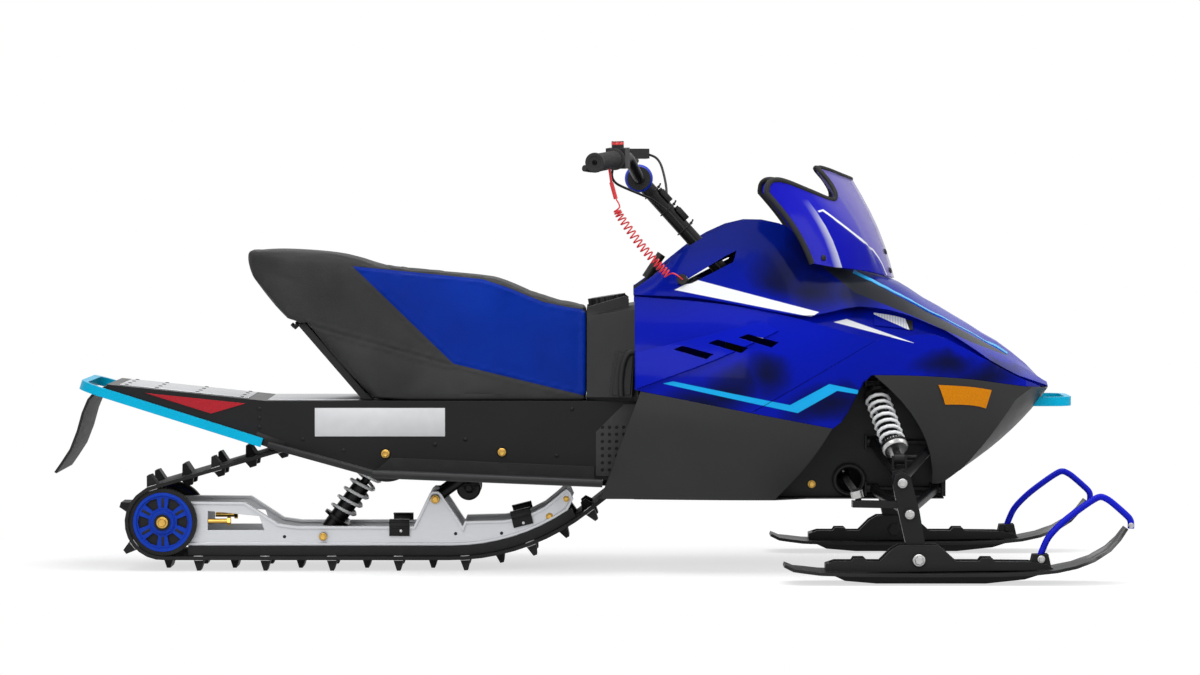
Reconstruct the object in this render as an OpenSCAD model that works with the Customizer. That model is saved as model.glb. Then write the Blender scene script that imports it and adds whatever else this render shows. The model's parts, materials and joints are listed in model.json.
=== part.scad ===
// Youth snowmobile. +X forward, +Y left, +Z up, millimetres.
// The track's lug tips and the ski keels stand on z = 0.

/* [Track] */
// Width of the belt
track_w = 254; // [200:300]
// Thickness of the belt
belt_t = 7; // [5:0.5:10]
// Height of the outer lugs
lug_h = 22; // [12:1:30]
// Lug pitch wanted along the belt
lug_pitch = 64; // [50:1:80]
// Thickness of a lug at its tip
lug_tip = 7; // [4:1:12]
// Height of the inner drive lugs
drive_lug_h = 15; // [8:1:18]

/* [Skid frame] */
// Rear wheel axle along the machine
wheel_x = -839; // [-860:-800]
// Rear wheel radius
wheel_r = 67.5; // [58:0.5:72]
// Tyre thickness of the rear wheels
tyre_t = 9; // [6:0.5:14]
// Angle at which the belt leaves the rails for the drive axle
climb = 38; // [34:0.5:42]
// Radius of the belt round the front of the rails
curve_r = 430; // [410:450]
// Height of the slider strip
slider_h = 20; // [14:1:24]
// Height of the rail over its straight part
rail_h = 38; // [30:1:44]
// Rail centre line from the middle
rail_y = 90; // [82:1:95]
// Upper carrier wheel radius
carrier_r = 60; // [50:1:62]
// Upper carrier shaft along the machine
carrier_x = -397; // [-420:-370]
// Front swing arm's upper shaft along the machine
arm_x = -168; // [-190:-150]
// Drive axle along the machine
drive_x = 50; // [30:1:80]
// Radius of the belt round the drive sprockets
drive_r = 60; // [54:1:62]
// Radius of the drive axle
drive_shaft_r = 12; // [9:0.5:16]

/* [Tunnel] */
// Half width of the tunnel
tunnel_hw = 150; // [140:160]
// Top of the tunnel
tunnel_z = 338; // [330:1:350]
// Sheet thickness of tunnel and boards
sheet_t = 3; // [2:0.5:4]
// Rear bumper bar height
bumper_h = 18; // [12:1:24]
// Bar thickness of both bumpers
bumper_t = 13; // [8:1:16]
// Width of the snow flap
flap_w = 286; // [240:290]

/* [Body] */
// Largest half width of the body
body_hw = 275; // [260:290]
// Wall thickness of the body panels
panel_t = 3; // [2:0.5:4]
// Seam between two panels
seam = 0.6; // [0.4:0.1:0.9]
// Windshield thickness
glass_t = 4; // [3:0.5:5]

/* [Seat] */
// Half width of the seat at its base
seat_hw = 150; // [130:155]
// Rise of the seat over its front end
seat_rise = 116; // [100:130]
// Radius of the fuel cap
cap_r = 38; // [34:42]

/* [Steering] */
// Handlebar tube radius
bar_r = 11; // [9:0.5:12]
// Grip radius
grip_r = 16.5; // [14:0.5:18]
// Half width over the grips
grip_y = 332; // [310:350]
// Steering post radius
post_r = 15; // [12:0.5:17]
// Bar pad radius
pad_r = 28; // [24:1:32]

/* [Skis] */
// Distance between the ski centre lines
stance = 800; // [780:840]
// Ski width
ski_w = 127; // [110:1:140]
// Ski bolt along the machine
bolt_x = 635; // [625:1:645]
// Height of the ski bolt
bolt_z = 46; // [44:1:50]
// Radius of the ski bolt
bolt_r = 8; // [6:0.5:9]
// Radius of the kingpins
king_r = 7; // [5:0.5:8]
// Front spring outer radius
spring_r = 26; // [22:1:30]

/* [Hidden] */
$fn = 40;

fit = 0.3;      // gap of a seated piece
run = 0.05;     // radial clearance of a running pin
slack = 0.7;    // wheels inside the belt
belt_z = lug_h + belt_t;            // inside of the belt on the ground
rail_z = belt_z + slider_h;         // underside of the rails
wheel_z = belt_z + wheel_r;
curve_z = belt_z + curve_r;
belt_top = tunnel_z - sheet_t - 12 - lug_h - belt_t;   // inside of the upper run
carrier_z = belt_top - carrier_r;
drive_z = belt_top + 4 - drive_r;
// Start of the curve
curve_x = drive_x + ((curve_z - drive_z) * cos(climb) - curve_r + drive_r) / sin(climb);
board_y = body_hw;                  // outer edge of the running boards
ski_y = stance / 2;
king_y = ski_y - 35;                // kingpin axis from the middle
pan_z = 150;                        // upper face of the belly pan

// Small helpers
function lerp(a, b, t) = a + (b - a) * t;
function unit(v) = v / norm(v);
function rev(p) = [for (i = [len(p) - 1:-1:0]) p[i]];
function row(tab, x, i = 0) = i >= len(tab) - 2 || x < tab[i + 1][0] ? i : row(tab, x, i + 1);
function cubic(a, b, c, d, t) = b + 0.5 * t * (c - a + t * (2 * a - 5 * b + 4 * c - d
  + t * (3 * (b - c) + d - a)));
// Smooth value of column c at x in a table ordered by its first column
function at(tab, x, c) = let (i = row(tab, x), n = len(tab) - 1,
  t = min(1, max(0, (x - tab[i][0]) / (tab[i + 1][0] - tab[i][0]))))
  cubic(tab[max(i - 1, 0)][c], tab[i][c], tab[i + 1][c], tab[min(i + 2, n)][c], t);
// Whole row of such a table at u from 0 to 1
function along_rows(tab, u) = let (n = len(tab) - 1, i = min(n - 1, floor(u * n)), t = u * n - i)
  cubic(tab[max(i - 1, 0)], tab[i], tab[i + 1], tab[min(i + 2, n)], t);
function steps(a, b, n) = [for (i = [0:n]) lerp(a, b, i / n)];
function mid_dir(p, i) = unit(p[min(i + 1, len(p) - 1)] - p[max(i - 1, 0)]);
// Closed outline of a strip of thickness t on the left of a 2-D line
function ribbon(p, t) = concat(p, rev([for (i = [0:len(p) - 1]) let (d = mid_dir(p, i))
  p[i] + t * [-d.y, d.x]]));

// XZ outline, thick from y0 to y1
module slab(y0, y1) translate([0, y1, 0]) rotate([90, 0, 0]) linear_extrude(y1 - y0) children();
module both() { children(); mirror([0, 1, 0]) children(); }
// Places z along the line from p to q
module along(p, q) {
  d = q - p;
  translate(p) rotate([0, acos(d.z / norm(d)), atan2(d.y, d.x)]) children();
}
module rod(p, q, r) along(p, q) cylinder(h = norm(q - p), r = r);
module across(x, z, r, y0, y1) translate([x, y1, z]) rotate([90, 0, 0]) cylinder(h = y1 - y0, r = r);

// Shell of thickness t under a grid of points
module sheet(g, t) {
  m = len(g);
  n = len(g[0]);
  k = m * n;
  out = [for (r = g) each r];
  inn = [for (i = [0:m - 1]) for (j = [0:n - 1]) g[i][j] - t * unit(cross(
    g[min(i + 1, m - 1)][j] - g[max(i - 1, 0)][j], g[i][min(j + 1, n - 1)] - g[i][max(j - 1, 0)]))];
  polyhedron(concat(out, inn), concat(
    [for (i = [0:m - 2]) for (j = [0:n - 2]) let (a = i * n + j, b = a + 1, c = b + n, d = a + n)
      each [[a, b, c], [a, c, d], [k + a, k + c, k + b], [k + a, k + d, k + c]]],
    [for (i = [0:m - 2]) let (a = i * n, d = a + n) each [[a, d, k + d], [a, k + d, k + a]]],
    [for (i = [0:m - 2]) let (b = i * n + n - 1, c = b + n) each [[c, b, k + b], [c, k + b, k + c]]],
    [for (j = [0:n - 2]) each [[j + 1, j, k + j], [j + 1, k + j, k + j + 1]]],
    [for (j = [0:n - 2]) let (d = (m - 1) * n + j, c = d + 1)
      each [[d, c, k + c], [d, k + c, k + d]]]));
}
// Solid through closed rings of points
module loft(g) {
  m = len(g);
  n = len(g[0]);
  polyhedron([for (r = g) each r], concat(
    [for (i = [0:m - 2]) for (j = [0:n - 1]) let (a = i * n + j, b = i * n + (j + 1) % n)
      each [[a, b, b + n], [a, b + n, a + n]]],
    [[for (j = [n - 1:-1:0]) j], [for (j = [0:n - 1]) (m - 1) * n + j]]));
}
// Round tube along rows of [x, y, z, radius]
module tube(p, sides = 8, ref = [0.3, 1, 0.2]) loft([for (i = [0:len(p) - 1])
  let (q = [for (r = p) [r[0], r[1], r[2]]], d = mid_dir(q, i), u = unit(cross(d, ref)), v = cross(d, u))
  [for (s = [0:sides - 1]) let (a = -360 * s / sides) q[i] + p[i][3] * (cos(a) * u + sin(a) * v)]]);
// Line whose corners are bent over a length r to each side
function bent(p, r) = concat([p[0]], [for (i = [1:len(p) - 2])
  let (a = unit(p[i - 1] - p[i]), b = unit(p[i + 1] - p[i]))
  each [p[i] + r * a, p[i] + 0.25 * r * (a + b), p[i] + r * b]], [p[len(p) - 1]]);
// Helical wire along z
module coil(r, wire, turns, h, seg = 12, sides = 6) loft([for (i = [0:turns * seg])
  let (a = 360 * i / seg, e = [cos(a), sin(a), 0],
    b = unit(cross([-sin(a), cos(a), h / turns / 2 / PI / r], e)))
  [for (s = [0:sides - 1]) let (w = -360 * s / sides)
    [0, 0, wire + (h - 2 * wire) * i / turns / seg] + r * e + wire * (cos(w) * e + sin(w) * b)]]);

// Track loop: circles [x, z, radius] inside the belt, in order round the loop
loop = [[wheel_x, wheel_z, wheel_r], [curve_x, curve_z, curve_r], [drive_x, drive_z, drive_r],
  [carrier_x, carrier_z, carrier_r]];
nl = len(loop);
function leave(i) = let (a = loop[i], b = loop[(i + 1) % nl], d = [b.x - a.x, b.y - a.y])
  atan2(d.y, d.x) - acos((a[2] - b[2]) / norm(d));
function turn(i) = let (s = leave(i) - leave((i + nl - 1) % nl)) s - 360 * floor(s / 360);
function reach(i) = let (a = loop[i], b = loop[(i + 1) % nl])
  sqrt(pow(b.x - a.x, 2) + pow(b.y - a.y, 2) - pow(a[2] - b[2], 2));
function upto(i) = i == 0 ? 0 : upto(i - 1) + loop[i - 1][2] * turn(i - 1) * PI / 180 + reach(i - 1);
loop_len = upto(nl);
lugs = 2 * round(loop_len / lug_pitch / 2);
pitch = loop_len / lugs;
// Point at length s round the loop, d outside the belt's inner face
function on_loop(s, d, i = 0) = let (w = s - loop_len * floor(s / loop_len), c = loop[i],
  arc = c[2] * turn(i) * PI / 180, l = w - upto(i))
  i < nl - 1 && w >= upto(i + 1) ? on_loop(w, d, i + 1)
  : let (a = leave((i + nl - 1) % nl) + min(l, arc) / c[2] * 180 / PI, e = [cos(a), sin(a)],
    over = max(0, l - arc))
    [c.x, c.y] + (c[2] + d) * e + over * [-e.y, e.x];
// Whether the belt bends round a small wheel at length s
function bends(s) = norm(on_loop(s + 6, 0) - 2 * on_loop(s, 0) + on_loop(s - 6, 0)) > 0.2;
// One side of the belt: flat at d0, standing up to d1 on lugs of one parity (2 for none, 3 for all)
function belt_line(d0, d1, parity, base, tip) = [for (k = [0:lugs - 1]) let (s = k * pitch)
  each concat(parity == 3 || k % 2 == parity
    ? [on_loop(s - base / 2, d0), on_loop(s - tip / 2, d1), on_loop(s + tip / 2, d1),
      on_loop(s + base / 2, d0)]
    : [on_loop(s, d0)],
    [for (q = [0.25, 0.5, 0.75]) if (q == 0.5 || bends(s + q * pitch)) on_loop(s + q * pitch, d0)])];
module belt(y0, y1, parity, inside) slab(y0, y1) difference() {
  polygon(belt_line(belt_t, belt_t + lug_h, parity, 3 * lug_tip, lug_tip));
  polygon(belt_line(0, -drive_lug_h, inside, 26, 12));
}
module track() color("#1b1b1c") {
  e = track_w / 2;
  both() {
    belt(e - 15, e, 2, 2);
    belt(62, e - 15, 0, 2);
    belt(42, 62, 2, 3);
    belt(0, 42, 1, 2);
  }
}

// Rails: top edge rows [x, height over the rail's underside]
rail_top = [[-28, 92], [-34, 106], [-41, 112], [-50, 106], [-61, 96], [-86, 76], [-126, 56],
  [-166, 50], [-243, 48], [-247, rail_h], [-289, 102], [-295, 107], [-307, 107], [-313, 102],
  [-344, rail_h], [wheel_x + 262, rail_h], [wheel_x + 227, rail_h + 5], [wheel_x + 161, 86],
  [wheel_x + 63, 87], [wheel_x - 23, 87]];
function curve_pts(r, a0, a1) = [for (a = steps(a0, a1, 8)) [curve_x + r * sin(a), curve_z - r * cos(a)]];
module rail_outline() polygon(concat([[wheel_x - 23, rail_z]], curve_pts(curve_r - slider_h, 0, 34),
  [for (p = rail_top) [p.x, rail_z + p.y]]));
module rails() color("#d4d8da") both() difference() {
  union() {
    slab(rail_y - 3, rail_y + 3) rail_outline();
    slab(rail_y - 10, rail_y + 10) difference() {
      rail_outline();
      offset(delta = -5) rail_outline();
    }
    across(wheel_x, wheel_z, 26, rail_y - 10, rail_y + 8);
  }
  slab(rail_y - 20, rail_y + 20) polygon([for (p = [[87, 30], [199, 30], [189, 58], [87, 68]])
    [wheel_x + p.x, rail_z + p.y]]);
  across(wheel_x, wheel_z, 10 + fit, rail_y - 20, rail_y + 20);
  across(-301, rail_z + 92, 8 + fit, rail_y - 20, rail_y + 20);
  across(-523, rail_z + 18, 7 + fit, rail_y - 20, rail_y + 20);
}
module sliders() color("#1d1e20") both() slab(rail_y - 15, rail_y + 15)
  polygon(concat([[wheel_x + 49, belt_z + fit]], curve_pts(curve_r - fit, 0, 35),
    rev(curve_pts(curve_r - slider_h + fit, 0, 35)), [[wheel_x + 49, rail_z - fit]]));

// Rear wheels run outside the rails, under the belt's edge
wheel_y = rail_y + 11;
module wheel_discs() color("#1d5fd0") both() difference() {
  union() {
    across(wheel_x, wheel_z, wheel_r - tyre_t, wheel_y, wheel_y + 20);
    across(wheel_x, wheel_z, 22, wheel_y - 0.5, wheel_y + 24);
  }
  across(wheel_x, wheel_z, 10 + fit, wheel_y - 9, wheel_y + 40);
  for (y = [-15, 15]) translate([0, wheel_y + y, 0]) difference() {
    across(wheel_x, wheel_z, wheel_r - tyre_t - 6, 0, 20);
    across(wheel_x, wheel_z, 24, -1, 21);
  }
  for (a = [0:60:300]) translate([wheel_x, 0, wheel_z]) rotate([0, a, 0])
    slab(wheel_y - 9, wheel_y + 40) polygon([[28, -6], [wheel_r - tyre_t - 12, -13],
      [wheel_r - tyre_t - 9, 0], [wheel_r - tyre_t - 12, 13], [28, 6]]);
}
module wheel_tyres() color("#161617") both() translate([wheel_x, wheel_y, wheel_z]) rotate([-90, 0, 0])
  difference() {
    cylinder(h = 20, r = wheel_r - slack);
    translate([0, 0, -1]) cylinder(h = 22, r = wheel_r - tyre_t + fit);
  }
// Shafts: rear axle, skid cross shafts, carrier and arm shafts, drive axle
module skid_shafts() color("#8d9296") {
  across(wheel_x, wheel_z, 10, -wheel_y - 30, wheel_y + 30);
  both() across(wheel_x, wheel_z, 16, wheel_y + 24 + fit, wheel_y + 30);
  across(-301, rail_z + 92, 8, -rail_y - 16, rail_y + 16);
  across(-523, rail_z + 18, 7, -rail_y - 16, rail_y + 16);
  across(carrier_x, carrier_z, 9, -tunnel_hw - 6, tunnel_hw + 6);
  across(arm_x, carrier_z + 3, 9, -tunnel_hw - 6, tunnel_hw + 6);
  across(drive_x, drive_z, drive_shaft_r, -tunnel_hw, tunnel_hw);
}
// Carrier wheels under the upper run and toothed drivers on the drive axle
module track_wheels() color("#26282b") both() {
  difference() {
    across(carrier_x, carrier_z, carrier_r - slack, 72, 92);
    across(carrier_x, carrier_z, carrier_r - 12, 86, 95);
    across(carrier_x, carrier_z, 9 + fit, 60, 100);
  }
  difference() {
    union() {
      across(drive_x, drive_z, drive_r - drive_lug_h - 1, 40, 64);
      across(drive_x, drive_z, drive_r - slack, 66, 78);
      across(drive_x, drive_z, drive_r - 24, 40, 78);
    }
    across(drive_x, drive_z, drive_shaft_r + fit, 30, 90);
  }
}
module front_arm() color("#202224") {
  lo = [-301, 0, rail_z + 92];
  up = [arm_x, 0, carrier_z + 3];
  difference() {
    union() {
      across(lo.x, lo.z, 14, -rail_y + 12, rail_y - 12);
      across(up.x, up.z, 15, -120, 120);
      for (y = [-62, 62]) rod(lo + [0, y, 0], up + [0, y, 0], 11);
      slab(-62, 62) polygon([[-252, 168], [-238, 150], [-226, 150], [-214, 168], [-214, 190], [-252, 190]]);
    }
    across(lo.x, lo.z, 8 + fit, -200, 200);
    across(up.x, up.z, 9 + fit, -200, 200);
  }
}

// Tunnel: side outline rows [x, z], top edge then bottom edge
tail_x = -945;
nose_x = 232;
deck_x = -633;
function top_z(x) = tunnel_z + (x < deck_x ? (deck_x - x) * 0.104 : 0);
tunnel_low = [[tail_x, 352], [-641, 262], [-423, 200], [-100, 186], [110, 180], [120, pan_z + fit],
  [nose_x, pan_z + fit]];
module tunnel() color("#1a1b1d") difference() {
  slab(-tunnel_hw, tunnel_hw) polygon(concat(tunnel_low,
    [[nose_x, tunnel_z], [deck_x, tunnel_z], [tail_x, top_z(tail_x)]]));
  slab(-tunnel_hw + sheet_t, tunnel_hw - sheet_t) polygon([[tail_x - 9, 100], [nose_x - sheet_t, 100],
    [nose_x - sheet_t, tunnel_z - sheet_t], [deck_x, tunnel_z - sheet_t],
    [tail_x - 9, top_z(tail_x - 9) - sheet_t]]);
  across(carrier_x, carrier_z, 9 + fit, -200, 200);
  across(arm_x, carrier_z + 3, 9 + fit, -200, 200);
  across(drive_x, drive_z, drive_shaft_r + fit, -200, 200);
}
// Running board: perforated tread with a rolled outer edge
board_x = [-417, 30];
function board_z(x) = lerp(202, 184, (x - board_x[0]) / (board_x[1] - board_x[0]));
module running_boards() color("#232528") both() difference() {
  union() {
    slab(tunnel_hw + fit, board_y - 4) polygon(concat([for (x = board_x) [x, board_z(x)]],
      [for (x = rev(board_x)) [x, board_z(x) - 4]]));
    slab(tunnel_hw + fit, tunnel_hw + 4) polygon([[board_x[0], board_z(board_x[0]) - 2],
      [board_x[1] - 16, board_z(board_x[1] - 16) - 2], [board_x[1] - 16, board_z(board_x[1] - 16) + 24],
      [board_x[0] + 30, board_z(board_x[0]) + 24]]);
    edge = [for (x = board_x) [x, board_y - 8, board_z(x) - 1]];
    rod(edge[0], edge[1], 8);
    rod([bump_x + 14, tunnel_hw + 8 + fit, 252], edge[0] + [4, 0, 0], 7);
  }
  for (i = [0:9]) for (j = [0:2]) translate([-385 + i * 43, tunnel_hw + 28 + j * 32, 150])
    cylinder(h = 80, r = 11, $fn = 12);
}
module foot_plates() color("#2a2c2f") both() difference() {
  slab(tunnel_hw + fit, tunnel_hw + 3) polygon([[17, 190], [17, 277], [72, 332], [124, 332], [124, 190]]);
  for (i = [0:5]) for (j = [0:6]) if (17 + i * 14 > j * 14 - 76)
    across(30 + i * 14, 202 + j * 14, 3.6, tunnel_hw - 1, tunnel_hw + 5, $fn = 8);
}
// Rear bumper: flat bar loop in a plane that falls forward
bump_x = -640;
bump_a = atan((top_z(tail_x) - 274.4) / (bump_x - tail_x));
module rear_bumper() color("#35b4e6") translate([bump_x, 0, 256]) rotate([0, bump_a, 0]) {
  l = (bump_x - tail_x) / cos(bump_a) + 58;
  r = 52;
  w = tunnel_hw + fit + bumper_t;
  translate([0, 0, -bumper_h / 2]) linear_extrude(bumper_h) difference() {
    union() {
      translate([-l + r, -w]) square([l - r, 2 * w]);
      translate([-l, -w + r]) square([r, 2 * w - 2 * r]);
      for (s = [-1, 1]) translate([-l + r, s * (w - r)]) circle(r);
    }
    v = w - bumper_t;
    q = r - bumper_t;
    translate([-l + r, -v]) square([l, 2 * v]);
    translate([-l + bumper_t, -v + q]) square([r, 2 * v - 2 * q]);
    for (s = [-1, 1]) translate([-l + r, s * (v - q)]) circle(q);
  }
}
// Snow flap rows [behind the tail, below the deck]
flap_fall = [[101, 176], [89, 159], [70, 130], [56, 94], [46, 58], [35, 32], [21, 16]];
module snow_flap() color("#141415") slab(-flap_w / 2, flap_w / 2)
  polygon(ribbon(concat([for (p = flap_fall) [tail_x - p.x, top_z(tail_x) - p.y]],
    [for (x = [tail_x, tail_x + 45]) [x, top_z(x) - sheet_t - fit - 5]]), 5));
// Red triangle on the tail's side, between the deck and the bumper bar
function tail_at(u) = lerp(tail_x, bump_x, u);
function bar_z(x) = 256 + (bump_x - x) * tan(bump_a) + bumper_h / 2 / cos(bump_a);
module red_reflectors() color("#c01818") both() slab(tunnel_hw + fit, tunnel_hw + 2.5)
  polygon([[tail_at(0.246), top_z(tail_at(0.246)) - 9], [tail_at(0.895), top_z(tail_at(0.895)) - 9],
    [tail_at(0.672), bar_z(tail_at(0.672)) + 16]]);

// Body: half width at x in plan, drawn in with height
plan = [[60, 0.86], [150, 0.925], [300, 1], [450, 0.99], [560, 0.953], [680, 0.909], [780, 0.82],
  [860, 0.66], [915, 0.34]];
belt_line_z = 350;
function body_y(x, z) = body_hw * at(plan, x, 1)
  * (1 - (z > belt_line_z ? 0.22 : 0.15) * pow((z - belt_line_z) / 190, 2));
// Side panel patch on the body between two edges of [x, z] points
module side_patch(low, high, nu, nv, t) both() sheet([for (u = steps(0, 1, nu))
  let (a = along_rows(low, u), b = along_rows(high, u))
  [for (v = steps(1, 0, nv)) let (p = lerp(a, b, v)) [p.x, body_y(p.x, p.y), p.y]]], t);

// Hood: rows [x, edge height, crease y, crease z, valley y, valley z, middle z, pocket depth]
hood_rows = [[92, 548, 150, 558, 120, 545, 540, 8], [150, 546, 152, 602, 122, 565, 560, 8],
  [200, 544, 154, 643, 124, 590, 585, 8], [250, 537, 155, 672, 124, 612, 606, 8],
  [307, 527, 155, 692, 122, 640, 632, 8], [388, 512, 150, 684, 112, 655, 648, 10],
  [441, 509, 140, 636, 95, 642, 644, 26], [522, 525, 115, 597, 60, 604, 606, 62],
  [570, 522, 104, 580, 54, 588, 590, 64], [619, 511, 95, 560, 50, 568, 570, 54],
  [680, 487, 88, 521, 46, 530, 532, 24], [713, 468, 85, 500, 45, 508, 511, 12],
  [817, 404, 78, 436, 40, 448, 451, 8], [864, 384, 62, 408, 34, 415, 417, 8],
  [903, 369, 44, 372, 24, 374.5, 375, 2], [910, 366.5, 40, 367.5, 22, 368, 368.5, 2]];
function brow(x) = x < 560 ? 5 + 6 * pow(max(0, 1 - (560 - x) / 180), 2)
  : 11 * max(0, 1 - pow((x - 560) / 150, 2));
function hood_half(x) = let (e = at(hood_rows, x, 1), y = body_y(x, e),
  c = [at(hood_rows, x, 2), at(hood_rows, x, 3)], v = [at(hood_rows, x, 4), at(hood_rows, x, 5)],
  d = at(hood_rows, x, 7), in = 7 + d / 8, m = lerp([y, e], c, 0.5))
  [[x, body_y(x, e - d) - in, e - d], [x, y - in - 2, e - 4], [x, y + brow(x), e], [x, m.x + 5, m.y + 6],
   [x, c.x, c.y], [x, v.x, v.y]];
function flip(p) = [for (q = rev(p)) [q.x, -q.y, q.z]];
post_lo = [318, 0, 535];
post_hi = [102, 0, 775];
module hood() color("#0f3fae") difference() {
  sheet(rev([for (x = concat(steps(92, 388, 8), steps(414, 619, 7), steps(640, 903, 9), [910]))
    let (h = hood_half(x)) concat(h, [[x, 0, at(hood_rows, x, 6)]], flip(h))]), panel_t);
  rod(post_lo, post_hi, post_r + 20);
  rod([200, -50, 557.2], [131, -50, 601], 8.4 + fit);
  rod([186, -150, 578], [186, -220, 578], 10 + fit);
  both() slab(134, 300) polygon([[176, 566], [204, 570], [286, 612], [292, 634], [272, 624]]);
}
// Pull handle of the starter on its rope guide
module starter_handle() color("#1c1d1f") {
  rod([131, -50, 601], [186, -50, 566], 8.4);
  rod([116, -50, 578], [147, -50, 625], 9);
}
// Stop switch in the cowl's side, where the tether is plugged in
module kill_switch() color("#2b2a28") rod([186, -160, 578], [186, -200, 578], 10);

// Seam lines in side view: upper edge of the lower panel, upper edge of the nose
function panel_line(x) = 361 - (x - 104) * 0.193;
nose_line = [[553, 393.5], [650, 391.6], [754, 383.8], [838, 371.5], [895, 364], [918, 360.6]];
// Cheek: front side of the body between hood edge, seams and nose, rows [low x, low z, high x, high z]
cheek_rows = [[320, 0, 564.6, 460.9], [400, 0, 570, 462], [478, 0, 574, 464], [516, 342, 590, 466],
  [553, 0, 620, 468], [650, 0, 680, 470], [754, 0, 760, 432], [838, 0, 838, 390], [893, 0, 893, 366.4]];
function cheek_edge(i) = [for (r = cheek_rows)
  let (z = r[0] < 480 ? panel_line(r[0]) + seam : r[0] < 550 ? r[1] : at(nose_line, r[0], 1))
  i == 0 ? [r[0], z] : [r[2], r[3]]];
function cheek_low(u) = let (p = along_rows(cheek_edge(0), u))
  [p.x, p.x < 476 ? panel_line(p.x) + seam : p.x < 553 ? p.y : at(nose_line, p.x, 1)];
module cheeks() color("#1247b8") both() sheet([for (u = steps(0, 1, 24))
  let (a = cheek_low(u), b = along_rows(cheek_edge(1), u))
  [for (v = steps(1, 0, 6)) let (p = lerp(a, b, v)) [p.x, body_y(p.x, p.y), p.y]]], panel_t);
// Side panel with three slanted louvres
side_low = [for (x = [93, 200, 319 - seam]) [x, panel_line(x) + seam]];
side_high = [[93, 545], [330, 521], [563, 460.5]];
louvre_low = [[95, 366], [250, 424], [372, 479]];
louvre_high = [[95, 437], [240, 472], [344, 499]];
module side_panels() color("#1247b8") difference() {
  union() {
    side_patch(side_low, side_high, 10, 10, panel_t);
    both() sheet([for (u = steps(0, 1, 8))
      let (a = along_rows(louvre_low, u), b = along_rows(louvre_high, u)) [for (v = steps(1, 0, 4))
        let (p = lerp(a, b, v)) [p.x, body_y(p.x, p.y) + lerp(9, 3, u), p.y]]], 10);
  }
  for (k = [0:2]) slab(-400, 400) polygon([for (p = [[168, 443], [186, 450], [246, 434], [232, 424]])
    p + k * [72, 13] * (1 - 0.06 * k)]);
}
// Dark lower panel; its upper strip is set back behind a crease
module lower_panels() color("#3a3d42") both() sheet([for (u = steps(0, 1, 16)) [for (v = steps(1, 0, 8))
  let (zl = lerp(pan_z - 2, panel_line(104), v), zr = lerp(pan_z - 2, panel_line(477), v),
    xl = lerp(26, 104, v), xr = lerp(365, 477, v) + 8 * sin(180 * v), x = lerp(xl, xr, u), z = lerp(zl, zr, u))
  [x, body_y(x, z) + (v < 0.8 ? 5 : v > 0.9 ? 0 : 2.5), z]]], panel_t);
// Nose: rows of top, middle and bottom [x, z] and the half width that each is drawn to
nose_rows = [[558, 397, 1, 648, 291, 1, 674, 180, 1], [645, 390.4, 1, 690, 288, 1, 692, 181, 1],
  [754, 382.4, 1, 745, 290, 1, 712, 194, 1], [856, 369.4, 1, 790, 276, 1, 730, 207, 1],
  [905, 361.5, 0.55, 835, 279, 0.6, 742, 208, 0.6], [918, 360, 0, 846, 280, 0, 746, 208, 0]];
function nose_at(u, v) = let (r = along_rows(nose_rows, u), a = [r[0], at(nose_line, r[0], 1) - seam],
  b = [r[3], r[4]], c = [r[6], r[7]],
  w = [(1 - v) * (1 - 2 * v), 4 * v * (1 - v), v * (2 * v - 1)], p = w[0] * a + w[1] * b + w[2] * c,
  q = u <= 0.6 ? 1 : w[0] * r[2] + w[1] * r[5] + w[2] * r[8])
  [p.x, q * body_y(min(p.x, 856), p.y), p.y];
module nose() color("#3b3e43") difference() {
  sheet(concat([for (u = steps(0, 1, 20)) [for (v = steps(0, 1, 8)) nose_at(u, v)]],
    [for (u = rev(steps(0, 0.95, 19))) [for (v = steps(0, 1, 8))
      let (p = nose_at(u, v)) [p.x, -p.y, p.z]]]), panel_t);
  both() translate([700, 95 - bumper_t - fit, 334 - bumper_h / 2 - fit])
    cube([300, bumper_t + 2 * fit, bumper_h + 2 * fit]);
}
module amber_reflectors() color("#f08a10") both()
  sheet([for (u = steps(0.26, 0.47, 6)) [for (v = steps(0.08, 0.27, 3))
  let (down = nose_at(u, v - 0.02) - nose_at(u, v + 0.02), on = nose_at(u + 0.02, v) - nose_at(u - 0.02, v))
  nose_at(u, v) + 2.9 * unit(cross(down, on))]], 2.4);
module headlights() color("#dfe6ec") both() sheet([for (x = steps(560, 636, 6)) [for (v = steps(0.9, 0.5, 3))
  let (h = hood_half(x), p = lerp(h[0], h[1], v)) p + [0, 3.6, 0]]], 3);
// Belly pan closes the body's underside
module belly_pan() color("#26282b") translate([0, 0, pan_z - 3]) linear_extrude(3) polygon(concat(
  [for (x = steps(92, 366, 6)) [x, body_y(x, pan_z) - 4]], [[430, 180], [700, 172], [700, -172], [430, -180]],
  [for (x = steps(366, 92, 6)) [x, -body_y(x, pan_z) + 4]]));
// Front bumper: flat bar loop out of the nose
module front_bumper() color("#35b4e6") translate([0, 0, 334 - bumper_h / 2]) linear_extrude(bumper_h)
  difference() {
    union() {
      translate([706, -95]) square([214, 190]);
      translate([880, -55]) square([80, 110]);
      for (s = [-1, 1]) translate([920, s * 55]) circle(40);
    }
    translate([700, -95 + bumper_t]) square([220, 190 - 2 * bumper_t]);
    translate([880, -55]) square([80 - bumper_t, 110]);
    for (s = [-1, 1]) translate([920, s * 55]) circle(40 - bumper_t);
  }
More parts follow.
